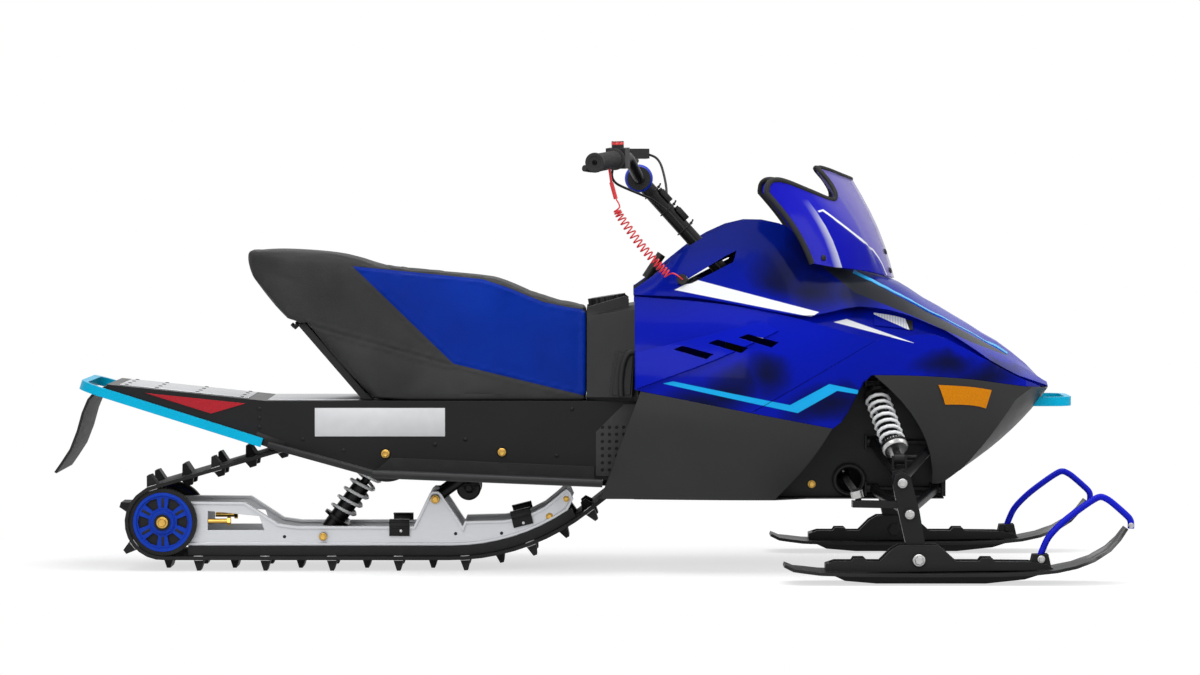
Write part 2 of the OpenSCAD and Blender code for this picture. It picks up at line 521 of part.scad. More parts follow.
// Windshield: rows [y, base x, base z, top x, top z]
shield = [[0, 612, 580, 527, 775], [30, 606, 582, 508, 782], [62, 594, 586, 476, 794],
  [80, 583.2, 588.7, 459, 796], [92, 576.3, 590.4, 478, 772], [104, 568, 592.5, 491, 748],
  [114, 560.2, 594.3, 485, 734], [150, 528, 600, 441, 750], [186, 483, 605.4, 390, 770],
  [200, 462.6, 608.9, 367, 773], [209, 448.7, 611.5, 355.5, 765], [214, 441, 613, 352, 748]];
module windshield() color("#2f46c8") {
  n = 2 * (len(shield) - 1);
  half = [for (u = steps(0, 1, n)) let (r = along_rows(shield, u)) [for (v = steps(1, 0, 6))
    [lerp(r[1], r[3], v) + 10 * sin(180 * v), r[0] + 4 * sin(180 * v) * u, lerp(r[2] - 3, r[4], v)]]];
  sheet(concat(rev(half), [for (i = [1:n]) [for (p = half[i]) [p.x, -p.y, p.z]]]), glass_t);
}
module bulkhead() color("#17181a") {
  difference() {
    translate([335, -150, pan_z + fit]) cube([370, 300, 250 - fit]);
    translate([325, -146, pan_z - 1]) cube([376, 292, 246]);
    both() translate([515, 140, 183]) rotate([-90, 0, 0]) cylinder(h = 30, r = 24);
  }
  slab(-2, 2) polygon([[440, pan_z + fit], [702, pan_z + fit], [702, 397], [440, 397]]);
  both() {
    for (z = arm_z) {
      for (x = [arm_in[0] - 15 - fit, arm_in[1] + 11 + fit])
        translate([x, 149, z - 13]) cube([4, 28, 26]);
      rod([arm_in[0] - 13, 164, z], [arm_in[1] + 13, 164, z], 5);
    }
    for (x = [-14 - fit, 10 + fit]) translate([shock_up.x + x, 149, shock_up.z - 5])
      cube([4, shock_up.y - 141, 19]);
    rod(shock_up - [14, 0, 0], shock_up + [14, 0, 0], 5);
  }
  difference() {
    union() {
      translate([280, -5, 398]) cube([150, 10, 4]);
      slab(-5, 5) polygon([[280, 398], [312, 398], [294, 540], [274, 560], [264, 556]]);
      rod(lerp(post_lo, post_hi, 0.1), lerp(post_lo, post_hi, 0.2), 24);
    }
    rod(post_lo + 0.3 * (post_lo - post_hi), post_hi, post_r + run);
  }
}
module engine() color("#6b6f74") {
  translate([244, -110, 190]) cube([176, 220, 200]);
  for (x = [260, 400]) for (y = [-90, 90]) translate([x, y, pan_z + fit]) cylinder(h = 42, r = 16);
}
// Seat: rows [x, top z, bottom z, top half width share, bottom half width share]
seat_rows = [[-668, 624, 606, 0.5, 0.5], [-660, 633, 586, 0.64, 0.64], [-627, 635, 556, 0.72, 0.72],
  [-589, 633, 519, 0.75, 0.78], [-567, 632, 500, 0.77, 0.82], [-483, 628, 408, 0.79, 0.9],
  [-441, 617, 362, 0.79, 0.95], [-420, 608, 342, 0.79, 0.97], [-353, 596, 0, 0.79, 1], [-257, 589, 0, 0.78, 1],
  [-190, 583, 0, 0.77, 1], [-161, 574, 0, 0.76, 1], [-113, 552, 0, 0.74, 1], [-64, 536, 0, 0.73, 1],
  [-16, 527, 0, 0.72, 1], [-2, 519, 0, 0.71, 0.99]];
function seat_ring(x, zt, zb, wt, wb) = let (h = zt - zb,
  half = [[wb, zb + 0.04 * h], [lerp(wb, wt, 0.5), lerp(zb, zt, 0.5)],
    [wt + 3, lerp(zb, zt, 0.84)], [wt - 5, lerp(zb, zt, 0.95)], [wt - 24, zt - 1]])
  concat([[x, wb - 6, zb]], [for (p = half) [x, p.x, p.y]], [[x, 0, zt]],
    [for (p = rev(half)) [x, -p.x, p.y]], [[x, -wb + 6, zb]]);
module seat() color("#2b2c2f") loft([for (r = rev(seat_rows))
  seat_ring(r[0], r[1] + (seat_rise - 116) * (r[1] - 519) / 116, max(r[2], tunnel_z + 0.5),
    r[3] * seat_hw, r[4] * seat_hw)]);
module seat_support() color("#151516") slab(-92, 92) polygon([[-570, 482], [-560, 492], [-441, 354],
  [-424, tunnel_z + fit], [-446, tunnel_z + fit]]);
// Console over the tank between seat and cowl
console_x = [-1.4, 100];
console_a = 9;      // rise of the console's top towards the cowl
cap_x = cap_r * cos(console_a) + 3.5;
function console_z(x) = 512 + tan(console_a) * (x - console_x[0]);
module console() color("#242629") {
  loft([for (t = steps(1, 0, 3)) let (x = lerp(console_x[0], console_x[1], t))
    seat_ring(x, console_z(x), tunnel_z + 0.5, lerp(104, 142, t), lerp(148, 186, t))]);
  // shoulders beside the fuel cap, rising towards the cowl
  rim = [[console_x[0], -20], [82, -20], [82, 12], [74, 19], [console_x[0], 9]];
  both() slab(86, 102) polygon([for (p = rim) [p.x, console_z(p.x) + p.y]]);
}
module fuel_cap() color("#131314") translate([cap_x, 0, console_z(cap_x) + fit]) rotate([0, -console_a, 0])
  difference() {
    cylinder(h = 22, r = cap_r);
    for (a = [0:30:330]) rotate([0, 0, a]) translate([cap_r + 3, 0, 6]) cylinder(h = 30, r = 6);
  }

// Front suspension: kingpin axis through the upper and lower ball joints
king_up = [604, king_y, 193];
king_lo = [618, king_y, 133];
king = unit(king_up - king_lo);
arm_in = [560, 684];
arm_z = [258, 166];
shock_lo = [604, king_y - 52, 233];
shock_up = [558, 190, 372];
module arm(outer, z, lug) difference() {
  union() {
    along(outer - 15 * king, outer + 15 * king) cylinder(h = 30, r = king_r + 7);
    for (x = arm_in) {
      rod(outer, [x, 164, z], 9);
      rod([x - 11, 164, z], [x + 11, 164, z], 11);
    }
    rod([lerp(outer.x, arm_in[0], 0.6), lerp(outer.y, 164, 0.6), lerp(outer.z, z, 0.6)],
      [lerp(outer.x, arm_in[1], 0.6), lerp(outer.y, 164, 0.6), lerp(outer.z, z, 0.6)], 7);
    if (lug) {
      for (s = [-14 - fit, 10 + fit]) translate([shock_lo.x + s, shock_lo.y - 10, shock_lo.z - 28])
        cube([4, 20, 34]);
      rod(shock_lo - [14, 0, 0], shock_lo + [14, 0, 0], 5);
      translate([shock_lo.x - 16, shock_lo.y - 10, shock_lo.z - 28]) cube([34, 20, 6]);
    }
  }
  rod(outer - 40 * king, outer + 40 * king, king_r + run);
  rod([500, 164, z], [760, 164, z], 5 + fit);
}
module control_arms() color("#17181a") both() {
  arm(king_up, arm_z[0], true);
  arm(king_lo, arm_z[1], false);
}
function shock_len(p, q) = norm(q - p);
module damper(p, q, eye, r) difference() {
  union() {
    rod(p + eye[0] * [1, 0, 0], p - eye[0] * [1, 0, 0], eye[1]);
    rod(q + eye[0] * [1, 0, 0], q - eye[0] * [1, 0, 0], eye[1]);
    rod(p, lerp(p, q, 0.2), 7);
    rod(lerp(p, q, 0.13), lerp(p, q, 0.58), r);
    rod(lerp(p, q, 0.5), lerp(p, q, 0.95), r / 2);
    rod(lerp(p, q, 0.17), lerp(p, q, 0.2), r + 10);
    rod(lerp(p, q, 0.83), lerp(p, q, 0.86), r + 10);
  }
  rod(p - [60, 0, 0], p + [60, 0, 0], 5 + fit);
  rod(q - [60, 0, 0], q + [60, 0, 0], 5 + fit);
}
rear_lo = [-523, 0, rail_z + 18];
rear_up = [carrier_x, 0, carrier_z];
module shocks() color("#202225") {
  both() damper(shock_lo, shock_up, [10, 11], spring_r - 10);
  difference() {
    union() {
      across(rear_lo.x, rear_lo.z, 15, -22, 22);
      across(rear_up.x, rear_up.z, 17, -22, 22);
      rod(lerp(rear_lo, rear_up, 0.05), lerp(rear_lo, rear_up, 0.6), 17);
      rod(lerp(rear_lo, rear_up, 0.5), lerp(rear_lo, rear_up, 0.95), 8);
      rod(lerp(rear_lo, rear_up, 0.16), lerp(rear_lo, rear_up, 0.19), 28);
      rod(lerp(rear_lo, rear_up, 0.82), lerp(rear_lo, rear_up, 0.86), 28);
    }
    across(rear_lo.x, rear_lo.z, 7 + fit, -60, 60);
    across(rear_up.x, rear_up.z, 9 + fit, -60, 60);
  }
}
module springs() color("#e6e8ea") {
  a = 0.2;
  b = 0.83;
  both() along(lerp(shock_lo, shock_up, a), shock_up) translate([0, 0, fit])
    coil(spring_r - 4, 3.6, 7, (b - a) * norm(shock_up - shock_lo) - 2 * fit);
  along(lerp(rear_lo, rear_up, 0.19), rear_up) translate([0, 0, fit])
    coil(24, 3.6, 6, 0.63 * norm(rear_up - rear_lo) - 2 * fit);
}

// Spindle: leg down to the ski, clevises round the ball joints, steering arm
ball = [523, ski_y - 25, 0];
ball_z = 158;
module spindle() difference() {
  union() {
    slab(ski_y - 18, ski_y + 18) polygon([[bolt_x - 17, bolt_z], [598, 133], [586, 190], [590, 208],
      [604, 214], [619, 206], [637, 140], [bolt_x + 18, bolt_z]]);
    across(bolt_x, bolt_z, 18, ski_y - 18, ski_y + 18);
    for (c = [king_up, king_lo]) {
      for (s = [-1, 1]) {
        rod(c + king * s * (15 + fit), c + king * s * 23, 13);
        translate(c) rotate([0, atan2(king.x, king.z), 0]) translate([-13, 0, s > 0 ? 15 + fit : -23])
          cube([26, 20, 8 - fit]);
      }
      rod(c - king * 23, c + king * 23, king_r);
      translate([c.x, ski_y + 17, c.z]) rotate([-90, 0, 0]) cylinder(h = 9, r = 12, $fn = 6);
    }
    translate([0, 0, ball_z - 14]) linear_extrude(13) polygon([[604, ski_y - 16], [604, ski_y + 10],
      [575, ski_y + 4], [ball.x - 12, ball.y + 11], [ball.x - 14, ball.y - 9], [ball.x + 8, ball.y - 13]]);
    rod([ball.x, ball.y, ball_z - 4], [ball.x, ball.y, ball_z - 4] + 26 * king, 6);
  }
  across(bolt_x, bolt_z, bolt_r + run, ski_y - 60, ski_y + 60);
}
module tie_rod() difference() {
  b = [ball.x, ball.y, ball_z - 4] + 15 * king;
  union() {
    rod(b - 7 * king, b + 7 * king, 12);
    rod(b, [507, 60, 188], 6.5);
    translate([507, 60, 180]) cylinder(h = 16, r = 12);
  }
  rod(b - 30 * king, b + 30 * king, 6 + run);
}
module spindle_right() color("#1b1c1e") mirror([0, 1, 0]) spindle();
module spindle_left() color("#1b1c1e") spindle();
module tie_rod_right() color("#54585c") mirror([0, 1, 0]) tie_rod();
module tie_rod_left() color("#54585c") tie_rod();

// Ski: underside rows [x from the bolt, z], plan rows [x from the bolt, half width share]
ski_under = [[-258, 33], [-240, 25], [-190, 19], [-131, 17], [0, 16], [156, 17], [215, 19], [262, 24],
  [300, 32], [335, 45], [366, 64], [386, 84], [401, 105]];
ski_plan = [[-258, 0.62], [-246, 0.8], [-222, 0.94], [-180, 1], [270, 1], [320, 0.92], [365, 0.72],
  [390, 0.5], [403, 0.36]];
ski_beam = [[-178, 22], [-178, 38], [-160, 44], [-128, 44], [-124, 50], [-104, 50], [-98, 44], [-74, 44],
  [-52, 66], [-36, 75], [36, 75], [52, 62], [72, 44], [116, 44], [121, 50], [141, 50], [146, 43.6], [212, 43],
  [246, 38], [262, 27]];
loop_y = 9;      // half width of the ski loop
loop_x = 235;    // its clamp bolt from the ski bolt
loop_z = 47;
module ski() translate([bolt_x, ski_y, 0]) {
  w = ski_w / 2;
  difference() {
    union() {
      intersection() {
        slab(-w, w) polygon(ribbon(ski_under, 6));
        linear_extrude(200) polygon(concat([for (p = ski_plan) [p.x, -w * p.y]],
          rev([for (p = ski_plan) [p.x, w * p.y]])));
      }
      slab(-12, 12) polygon([[-175, 21], [-140, 5], [-80, 0], [130, 0], [205, 8], [268, 28], [240, 25]]);
      difference() {
        slab(-29, 29) polygon(ski_beam);
        slab(-20.5, 20.5) polygon([[-170, 27], [206, 27], [240, 60], [240, 120], [-170, 120]]);
      }
      both() slab(loop_y + fit, loop_y + 7) polygon([[loop_x - 22, 30], [loop_x - 16, 56], [loop_x + 14, 57],
        [loop_x + 20, 30]]);
      across(loop_x, loop_z, 5, -loop_y - 11, loop_y + 11);
      across(0, bolt_z, bolt_r, -36, 36);
      for (s = [-1, 1]) translate([0, s * 32.5, bolt_z]) rotate([90, 0, 0])
        cylinder(h = 7, r = 13, center = true, $fn = 6);
    }
  }
}
module ski_right() color("#202123") mirror([0, 1, 0]) ski();
module ski_left() color("#202123") ski();
// Ski loop: centre line rows [x from the ski bolt, z], a flat bar bent over the ski's tip
loop_line = [[loop_x - 2, loop_z - 1], [239, 64], [252, 90], [279, 118], [314, 145], [340, 163], [350, 167.5],
  [359, 165], [374, 153], [400, 130], [407, 121], [408.6, 113], [408.2, 104]];
module ski_loop() translate([bolt_x, ski_y, 0]) difference() {
  slab(-loop_y, loop_y) polygon(concat([for (i = [0:len(loop_line) - 1]) let (d = mid_dir(loop_line, i))
    loop_line[i] + 6.5 * [-d.y, d.x]], rev([for (i = [0:len(loop_line) - 1]) let (d = mid_dir(loop_line, i))
    loop_line[i] - 6.5 * [-d.y, d.x]])));
  across(loop_x, loop_z, 5 + fit, -60, 60);
}
module ski_loop_right() color("#2b7be8") mirror([0, 1, 0]) ski_loop();
module ski_loop_left() color("#2b7be8") ski_loop();

// Handlebar: half rows [x, y, z]
bar_mid = post_hi;
bar_pts = [[bar_mid.x, 0, bar_mid.z], [bar_mid.x, 74, bar_mid.z], [80.5, 150, 817.6], [66, 190, 815],
  [16, grip_y - 4, 806]];
bar_dir = unit(bar_pts[4] - bar_pts[3]);
grip_in = 34;       // grip start along the bar end
module handlebar() color("#1a1b1d") {
  half = [for (p = rev([for (i = [1:4]) bar_pts[i]])) [p.x, -p.y, p.z]];
  tube([for (p = bent(concat(half, [for (i = [1:4]) bar_pts[i]]), 14)) concat(p, [bar_r])], 24, [1, 0, 0]);
  rod(post_lo, post_hi, post_r);
}
module bar_pad() color("#1f5fd6") difference() {
  across(bar_mid.x, bar_mid.z, pad_r, -58, 58);
  across(bar_mid.x, bar_mid.z, bar_r + fit, -90, 90);
  rod(post_lo, post_hi + 0.2 * (post_hi - post_lo), post_r + fit);
}
module grips() color("#17181a") both() along(bar_pts[3] + grip_in * bar_dir, bar_pts[4]) difference() {
  l = norm(bar_pts[4] - bar_pts[3]) - grip_in + 4;
  union() {
    cylinder(h = l, r = grip_r);
    cylinder(h = 4, r = grip_r + 5);
    translate([0, 0, l - 5]) cylinder(h = 5, r = grip_r + 3);
  }
  translate([0, 0, -1]) cylinder(h = l - 3 + fit, r = bar_r + fit);
}
// Control housings in the bar's frame: x down, y to the rear, z outwards
module on_bar() along(bar_pts[3], bar_pts[4]) children();
module throttle() color("#1e2022") mirror([0, 1, 0]) on_bar() difference() {
  union() {
    translate([-21, -20, 4]) cube([40, 40, 27]);
    translate([-34, 0, 17]) rotate([0, 90, 0]) cylinder(h = 20, r = 12);
    tube([for (p = bent([[14, 14, 18], [20, 44, 40], [16, 54, 62]], 8)) concat(p, [6.5])], 12, [1, 0, 0]);
  }
  translate([0, 0, -20]) cylinder(h = 80, r = bar_r + fit);
}
module brake() color("#1e2022") on_bar() difference() {
  union() {
    translate([-18, -22, 4]) cube([34, 40, 27]);
    translate([-21, -66, 8]) cube([20, 48, 19]);
    tube([for (p = bent([[0, -18, 18], [2, -52, 40], [4, -46, 140]], 14)) concat(p, [6])], 12, [1, 0, 0]);
  }
  translate([0, 0, -20]) cylinder(h = 80, r = bar_r + fit);
}
// Cables from the controls to the post and down it into the cowl
module control_cables() color("#101011") {
  s = post_r + 4.2;
  down = [for (z = [706, 672, 624, 590]) [post_hi.x + (post_hi.z - z) * (post_lo.x - post_hi.x)
    / (post_hi.z - post_lo.z), z]];
  right = [[50, -206, 793.1], [47, -203, 780], [56, -184, 766], [78, -140, 755], [104, -84, 744],
    [134, -s - 12, 730]];
  left = [[124.2, 228.4, 823], [136, 226, 820], [147, 206, 806], [154, 164, 782], [158, 104, 757],
    [158, 52, 738], [156, s + 6, 724]];
  tube([for (p = concat(right, [for (q = down) [q.x, -s, q.y]])) concat(p, [3.6])], 10);
  tube([for (p = concat(left, [for (q = down) [q.x, s, q.y]])) concat(p, [3.6])], 10);
}
// Tether rows [x, y, z, radius]: fat tube of the coil's outer diameter between thin leads
tether = [[186, -200.2, 578, 3], [186, -208, 578, 3], [181, -213, 581, 2], [166, -214, 584, 2.5],
  [156, -212, 588, 9], [134, -212, 612, 10], [106, -214, 644, 10], [82, -216, 676, 9], [64, -218, 702, 8],
  [58, -218, 714, 7], [57, -218, 724, 2.5], [56, -218, 735, 2]];
module tether_cord() color("#c0201c") tube(tether);
module tether_clip() color("#c0201c") {
  rod([56, -218, 735.4], [47, -217, 768], 4);
  rod([48, -217, 762], [43.5, -213, 793.8], 2.5);
}

tunnel();
running_boards();
foot_plates();
rear_bumper();
snow_flap();
red_reflectors();
amber_reflectors();
seat();
seat_support();
console();
fuel_cap();
hood();
starter_handle();
kill_switch();
windshield();
headlights();
side_panels();
cheeks();
lower_panels();
nose();
belly_pan();
front_bumper();
bulkhead();
engine();
track();
rails();
sliders();
wheel_discs();
wheel_tyres();
skid_shafts();
track_wheels();
front_arm();
shocks();
springs();
control_arms();
tether_cord();
handlebar();
bar_pad();
grips();
throttle();
brake();
control_cables();
tether_clip();
spindle_right();
spindle_left();
tie_rod_right();
tie_rod_left();
ski_right();
ski_left();
ski_loop_right();
ski_loop_left();
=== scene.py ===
# Youth snowmobile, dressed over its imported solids. Metres, +X forward, +Y to the rider's left, +Z up.
import json
import math

import bmesh
import bpy
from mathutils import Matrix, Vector
from mathutils.bvhtree import BVHTree

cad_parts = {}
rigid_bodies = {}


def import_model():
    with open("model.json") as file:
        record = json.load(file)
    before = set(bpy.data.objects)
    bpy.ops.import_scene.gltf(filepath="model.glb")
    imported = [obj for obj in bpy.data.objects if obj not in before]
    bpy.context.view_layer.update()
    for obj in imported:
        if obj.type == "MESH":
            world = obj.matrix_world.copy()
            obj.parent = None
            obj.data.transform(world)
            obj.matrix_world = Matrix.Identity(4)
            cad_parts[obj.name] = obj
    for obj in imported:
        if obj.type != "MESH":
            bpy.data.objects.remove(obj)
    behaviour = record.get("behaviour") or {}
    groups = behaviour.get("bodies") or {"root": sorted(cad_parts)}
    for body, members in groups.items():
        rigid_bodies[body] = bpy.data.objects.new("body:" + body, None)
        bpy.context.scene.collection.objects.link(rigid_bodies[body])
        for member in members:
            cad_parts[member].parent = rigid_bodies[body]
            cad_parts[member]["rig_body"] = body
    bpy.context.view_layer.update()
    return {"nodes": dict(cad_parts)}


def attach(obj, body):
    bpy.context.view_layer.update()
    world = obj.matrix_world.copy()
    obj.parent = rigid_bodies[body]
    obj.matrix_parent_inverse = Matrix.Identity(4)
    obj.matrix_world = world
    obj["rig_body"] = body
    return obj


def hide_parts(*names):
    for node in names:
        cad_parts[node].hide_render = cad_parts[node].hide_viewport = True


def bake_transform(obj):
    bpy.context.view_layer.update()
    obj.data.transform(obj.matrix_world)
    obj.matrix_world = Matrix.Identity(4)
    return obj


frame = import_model()
scene = bpy.context.scene

# Camera. A long lens on a tripod, about ten metres from the machine and square to its right side.
# It stands a little above the seat and looks slightly down.
camera = bpy.data.objects.new("camera", bpy.data.cameras.new("camera"))
scene.collection.objects.link(camera)
scene.camera = camera
camera.data.sensor_width, camera.data.lens = 36, 146.88
camera.location = (0.0447, -9.77, 0.791)
camera.rotation_euler = (Vector((0.0247, 0, 0.4576)) - camera.location).to_track_quat("-Z", "Y").to_euler()


# Stop tether. A red curled lanyard, extruded as a smooth plastic cord and wound on a mandrel.
# It is plugged into the switch in the cowl and hooked to the bar below the throttle.
class Wire:
    """A socket of the material that is being made; arithmetic on it adds Math nodes."""

    tree = None

    def __init__(self, socket):
        self.socket = socket

    @classmethod
    def node(cls, kind, settings=None, sockets=None, out=0):
        made = cls.tree.nodes.new("ShaderNode" + kind)
        for key, value in (settings or {}).items():
            if key == "stops":
                ramp = made.color_ramp
                while len(ramp.elements) < len(value):
                    ramp.elements.new(1.0)
                for stop, (at, grey) in zip(ramp.elements, value):
                    stop.position, stop.color = at, (grey, grey, grey, 1)
            else:
                setattr(made, key, value)
        for key, value in (sockets or {}).items():
            if isinstance(value, cls):
                cls.tree.links.new(value.socket, made.inputs[key])
            else:
                made.inputs[key].default_value = value
        return cls(made.outputs[out])

    def math(self, operation, other=0.0):
        return Wire.node("Math", {"operation": operation}, {0: self, 1: other})

    def __add__(self, other):
        return self.math("ADD", other)

    def __sub__(self, other):
        return self.math("SUBTRACT", other)

    def __rsub__(self, other):
        return Wire.node("Math", {"operation": "SUBTRACT"}, {0: other, 1: self})

    def __mul__(self, other):
        return self.math("MULTIPLY", other)

    def __or__(self, other):
        return self.math("MAXIMUM", other)

    def __and__(self, other):
        return self.math("MINIMUM", other)

    def __abs__(self):
        return self.math("ABSOLUTE")

    __radd__, __rmul__ = __add__, __mul__


def paint(build):
    """Makes the material that build() returns the shader of, under build's name."""
    made = bpy.data.materials.new(build.__name__)
    made.use_nodes = True
    Wire.tree = made.node_tree
    Wire.tree.nodes.clear()
    Wire.tree.links.new(build().socket, Wire.tree.nodes.new("ShaderNodeOutputMaterial").inputs["Surface"])
    return made


def place(stretch=(1, 1, 1)):
    return Wire.node("VectorMath", {"operation": "MULTIPLY"}, {0: Wire.node("TexCoord", out="Object"), 1: stretch})


def speckle(scale, detail=2.0, stretch=(1, 1, 1)):
    return Wire.node("TexNoise", None, {"Vector": place(stretch), "Scale": scale, "Detail": detail})


def tint(mask, a, b):
    pair = {key: value if isinstance(value, Wire) else (*value, 1) for key, value in ((6, a), (7, b))}
    return Wire.node("Mix", {"data_type": "RGBA"}, {0: mask, **pair}, out=2)


def fade(value, low, high):
    return Wire.node("MapRange", {"clamp": True}, {0: value, 1: low, 2: high})


def relief(height, depth, strength=0.6, rounding=0.0):
    sockets = {"Strength": strength, "Distance": depth, "Height": height}
    if rounding:
        sockets["Normal"] = Wire.node("Bevel", {"samples": 4}, {"Radius": rounding})
    return Wire.node("Bump", None, sockets)


def shade(colour, rough, normal=None, **plain):
    sockets = {"Base Color": colour if isinstance(colour, Wire) else (*colour, 1), "Roughness": rough}
    if normal:
        sockets["Normal"] = normal
    names = {"metal": "Metallic", "coat": "Coat Weight", "coat_rough": "Coat Roughness", "alpha": "Alpha",
             "sheen": "Sheen Weight", "specular": "Specular IOR Level"}
    sockets.update({names[key]: value for key, value in plain.items()})
    return Wire.node("BsdfPrincipled", None, sockets)


@paint
def lanyard_red():
    grain = speckle(400)
    return shade(tint(grain, (0.62, 0.012, 0.02), (0.8, 0.03, 0.04)), 0.3 + 0.15 * grain)


def smooth_line(rows, n):
    """n + 1 points on the smooth curve through rows of millimetres."""
    pts = [Vector(r) / 1000 for r in rows]
    pts = [2 * pts[0] - pts[1]] + pts + [2 * pts[-1] - pts[-2]]
    made = []
    for i in range(n + 1):
        u = min(i / n * (len(rows) - 1), len(rows) - 1 - 1e-9)
        k, t = int(u), u - int(u)
        a, b, c, d = pts[k:k + 4]
        made.append(b + 0.5 * t * (c - a + t * (2 * a - 5 * b + 4 * c - d + t * (3 * (b - c) + d - a))))
    return made


def tube(line, radius, sides=10):
    """Vertices and faces of a closed round tube along a line; radius is one value or one for each point."""
    radii = radius if isinstance(radius, list) else [radius] * len(line)
    verts, faces, up = [], [], None
    for i, p in enumerate(line):
        along = (line[min(i + 1, len(line) - 1)] - line[max(i - 1, 0)]).normalized()
        up = (up - along * up.dot(along)).normalized() if up else along.orthogonal().normalized()
        side = along.cross(up)
        verts += [p + radii[i] * (math.cos(a) * up + math.sin(a) * side)
                  for a in (2 * math.pi * s / sides for s in range(sides))]
    for i in range(len(line) - 1):
        for s in range(sides):
            a, b = i * sides + s, i * sides + (s + 1) % sides
            faces.append((a, b, b + sides, a + sides))
    last = (len(line) - 1) * sides
    return verts, faces + [tuple(range(sides - 1, -1, -1)), tuple(range(last, last + sides))]


def solid(name, shapes, finish, smooth=40):
    """One mesh object from a list of (vertices, faces), smooth where faces meet at less than that angle."""
    mesh = bpy.data.meshes.new(name)
    verts, faces = [], []
    for v, f in shapes:
        faces += [tuple(i + len(verts) for i in face) for face in f]
        verts += [tuple(p) for p in v]
    mesh.from_pydata(verts, [], faces)
    bm = bmesh.new()
    bm.from_mesh(mesh)
    bmesh.ops.recalc_face_normals(bm, faces=bm.faces)
    for face in bm.faces:
        face.smooth = True
    for edge in bm.edges:
        edge.smooth = len(edge.link_faces) == 2 and edge.calc_face_angle(0) < math.radians(smooth)
    bm.to_mesh(mesh)
    bm.free()
    mesh.materials.append(finish)
    made = bpy.data.objects.new(name, mesh)
    scene.collection.objects.link(made)
    return made


core = smooth_line([(158, -212, 587), (134, -212, 612), (106, -214, 644), (82, -216, 676), (64, -218, 702),
                    (58, -218, 714)], 200)
turns, wound = 18.5, []
for i in range(297):
    s = i / 296
    k = min(int(s * 200), 199)
    at = core[k].lerp(core[k + 1], s * 200 - k)
    along = (core[k + 1] - core[k]).normalized()
    across = along.cross(Vector((0, 1, 0))).normalized()
    angle = 2 * math.pi * (turns * (0.65 * s + 0.35 * (1 - (1 - s) ** 2)) - 0.25)
    reach = 7.4 + 4.6 * s * (1 - s) - 1.2 * s
    wound.append(at * 1000 + reach * (math.cos(angle) * across + math.sin(angle) * along.cross(across)))
lead = [(186, -200.2, 578), (186, -206, 578.4), (183.5, -211.5, 580.5), (176.5, -212.5, 586), (167, -209, 590.5)]
tail = [(63.5, -222.5, 719.5), (61.5, -219.5, 727), (56.5, -218, 735)]
route = smooth_line(lead + wound + tail, 2 * (len(lead) + len(wound) + len(tail) - 1))
lanyard = solid("stop_tether", [tube(route, 0.0015, 8)], lanyard_red, 80)
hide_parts("tether_cord")
sum((b - a).length for a, b in zip(route, route[1:]))
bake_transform(lanyard)


# Control cables. Wire in a black plastic sleeve, one from the throttle and one from the brake,
# each falling in an arc to the steering post, where ties hold it down to the cowl.
@paint
def sleeve_black():
    return shade(tint(speckle(60, 3), (0.006, 0.006, 0.0065), (0.014, 0.014, 0.015)), 0.42 + 0.2 * speckle(80),
                 relief(speckle(500), 0.0002, 0.3), specular=0.3)


down_post = [(164.1, 706), (194.7, 672), (237.9, 624), (268.5, 590)]
cable_rows = {
    "throttle_cable": [(50, -206, 793.1), (47, -203, 780), (56, -184, 766), (78, -140, 755), (104, -84, 744),
                       (134, -31.2, 730)] + [(x, -19.2, z) for x, z in down_post],
    "brake_cable": [(124.2, 228.4, 823), (136, 226, 820), (147, 206, 806), (154, 164, 782), (158, 104, 757),
                    (158, 52, 738), (156, 25.2, 724)] + [(x, 19.2, z) for x, z in down_post],
}
for name, rows in cable_rows.items():
    run = smooth_line(rows, 40 * (len(rows) - 1))
    far = [0.0]
    for a, b in zip(run, run[1:]):
        far.append(far[-1] + (b - a).length)
    evened, k = [], 0
    for i in range(121):
        want = far[-1] * i / 120
        while k < len(run) - 2 and far[k + 1] < want:
            k += 1
        evened.append(run[k].lerp(run[k + 1], (want - far[k]) / (far[k + 1] - far[k])))
    for _ in range(14):
        evened[1:-1] = [(a + 2 * b + c) / 4 for a, b, c in zip(evened, evened[1:], evened[2:])]
    made = solid(name, [tube(evened, 0.0025, 12)], sleeve_black, 80)
    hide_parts("control_cables")
    sum((b - a).length for a, b in zip(evened, evened[1:]))
    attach(made, "steering")


# Track. An endless rubber belt with cord plies, moulded lugs outside and drive lugs inside.
# Sprung steel clips are pressed round the belt at its edges, one at every second row of lugs.
def coat(finish, *nodes):
    """Gives CAD nodes their finish."""
    for name in nodes:
        slots = frame["nodes"][name].data.materials
        slots.clear()
        slots.append(finish)


@paint
def belt_rubber():
    dust = fade(speckle(18, 4), 0.45, 0.75)
    return shade(tint(dust, (0.006, 0.006, 0.0065), (0.017, 0.0165, 0.016)), 0.55 + 0.25 * dust,
                 relief(speckle(420, 3), 0.0006, 0.5, 0.0015), specular=0.25)


@paint
def zinc():
    return shade(tint(speckle(160, 3), (0.36, 0.36, 0.36), (0.56, 0.56, 0.55)), 0.22 + 0.2 * speckle(90, 3),
                 relief(speckle(900), 0.0001, 0.3, 0.0006), metal=1.0)


coat(belt_rubber, "track")
wheel_x, wheel_z = -839, 96.5
belt = [(wheel_x, wheel_z, 67.5), (-268.2, 459, 430), (50, 238, 60), (-397, 234, 60)]


def leaving(i):
    (ax, az, ar), (bx, bz, br) = belt[i], belt[(i + 1) % 4]
    return math.atan2(bz - az, bx - ax) - math.acos((ar - br) / math.hypot(bx - ax, bz - az))


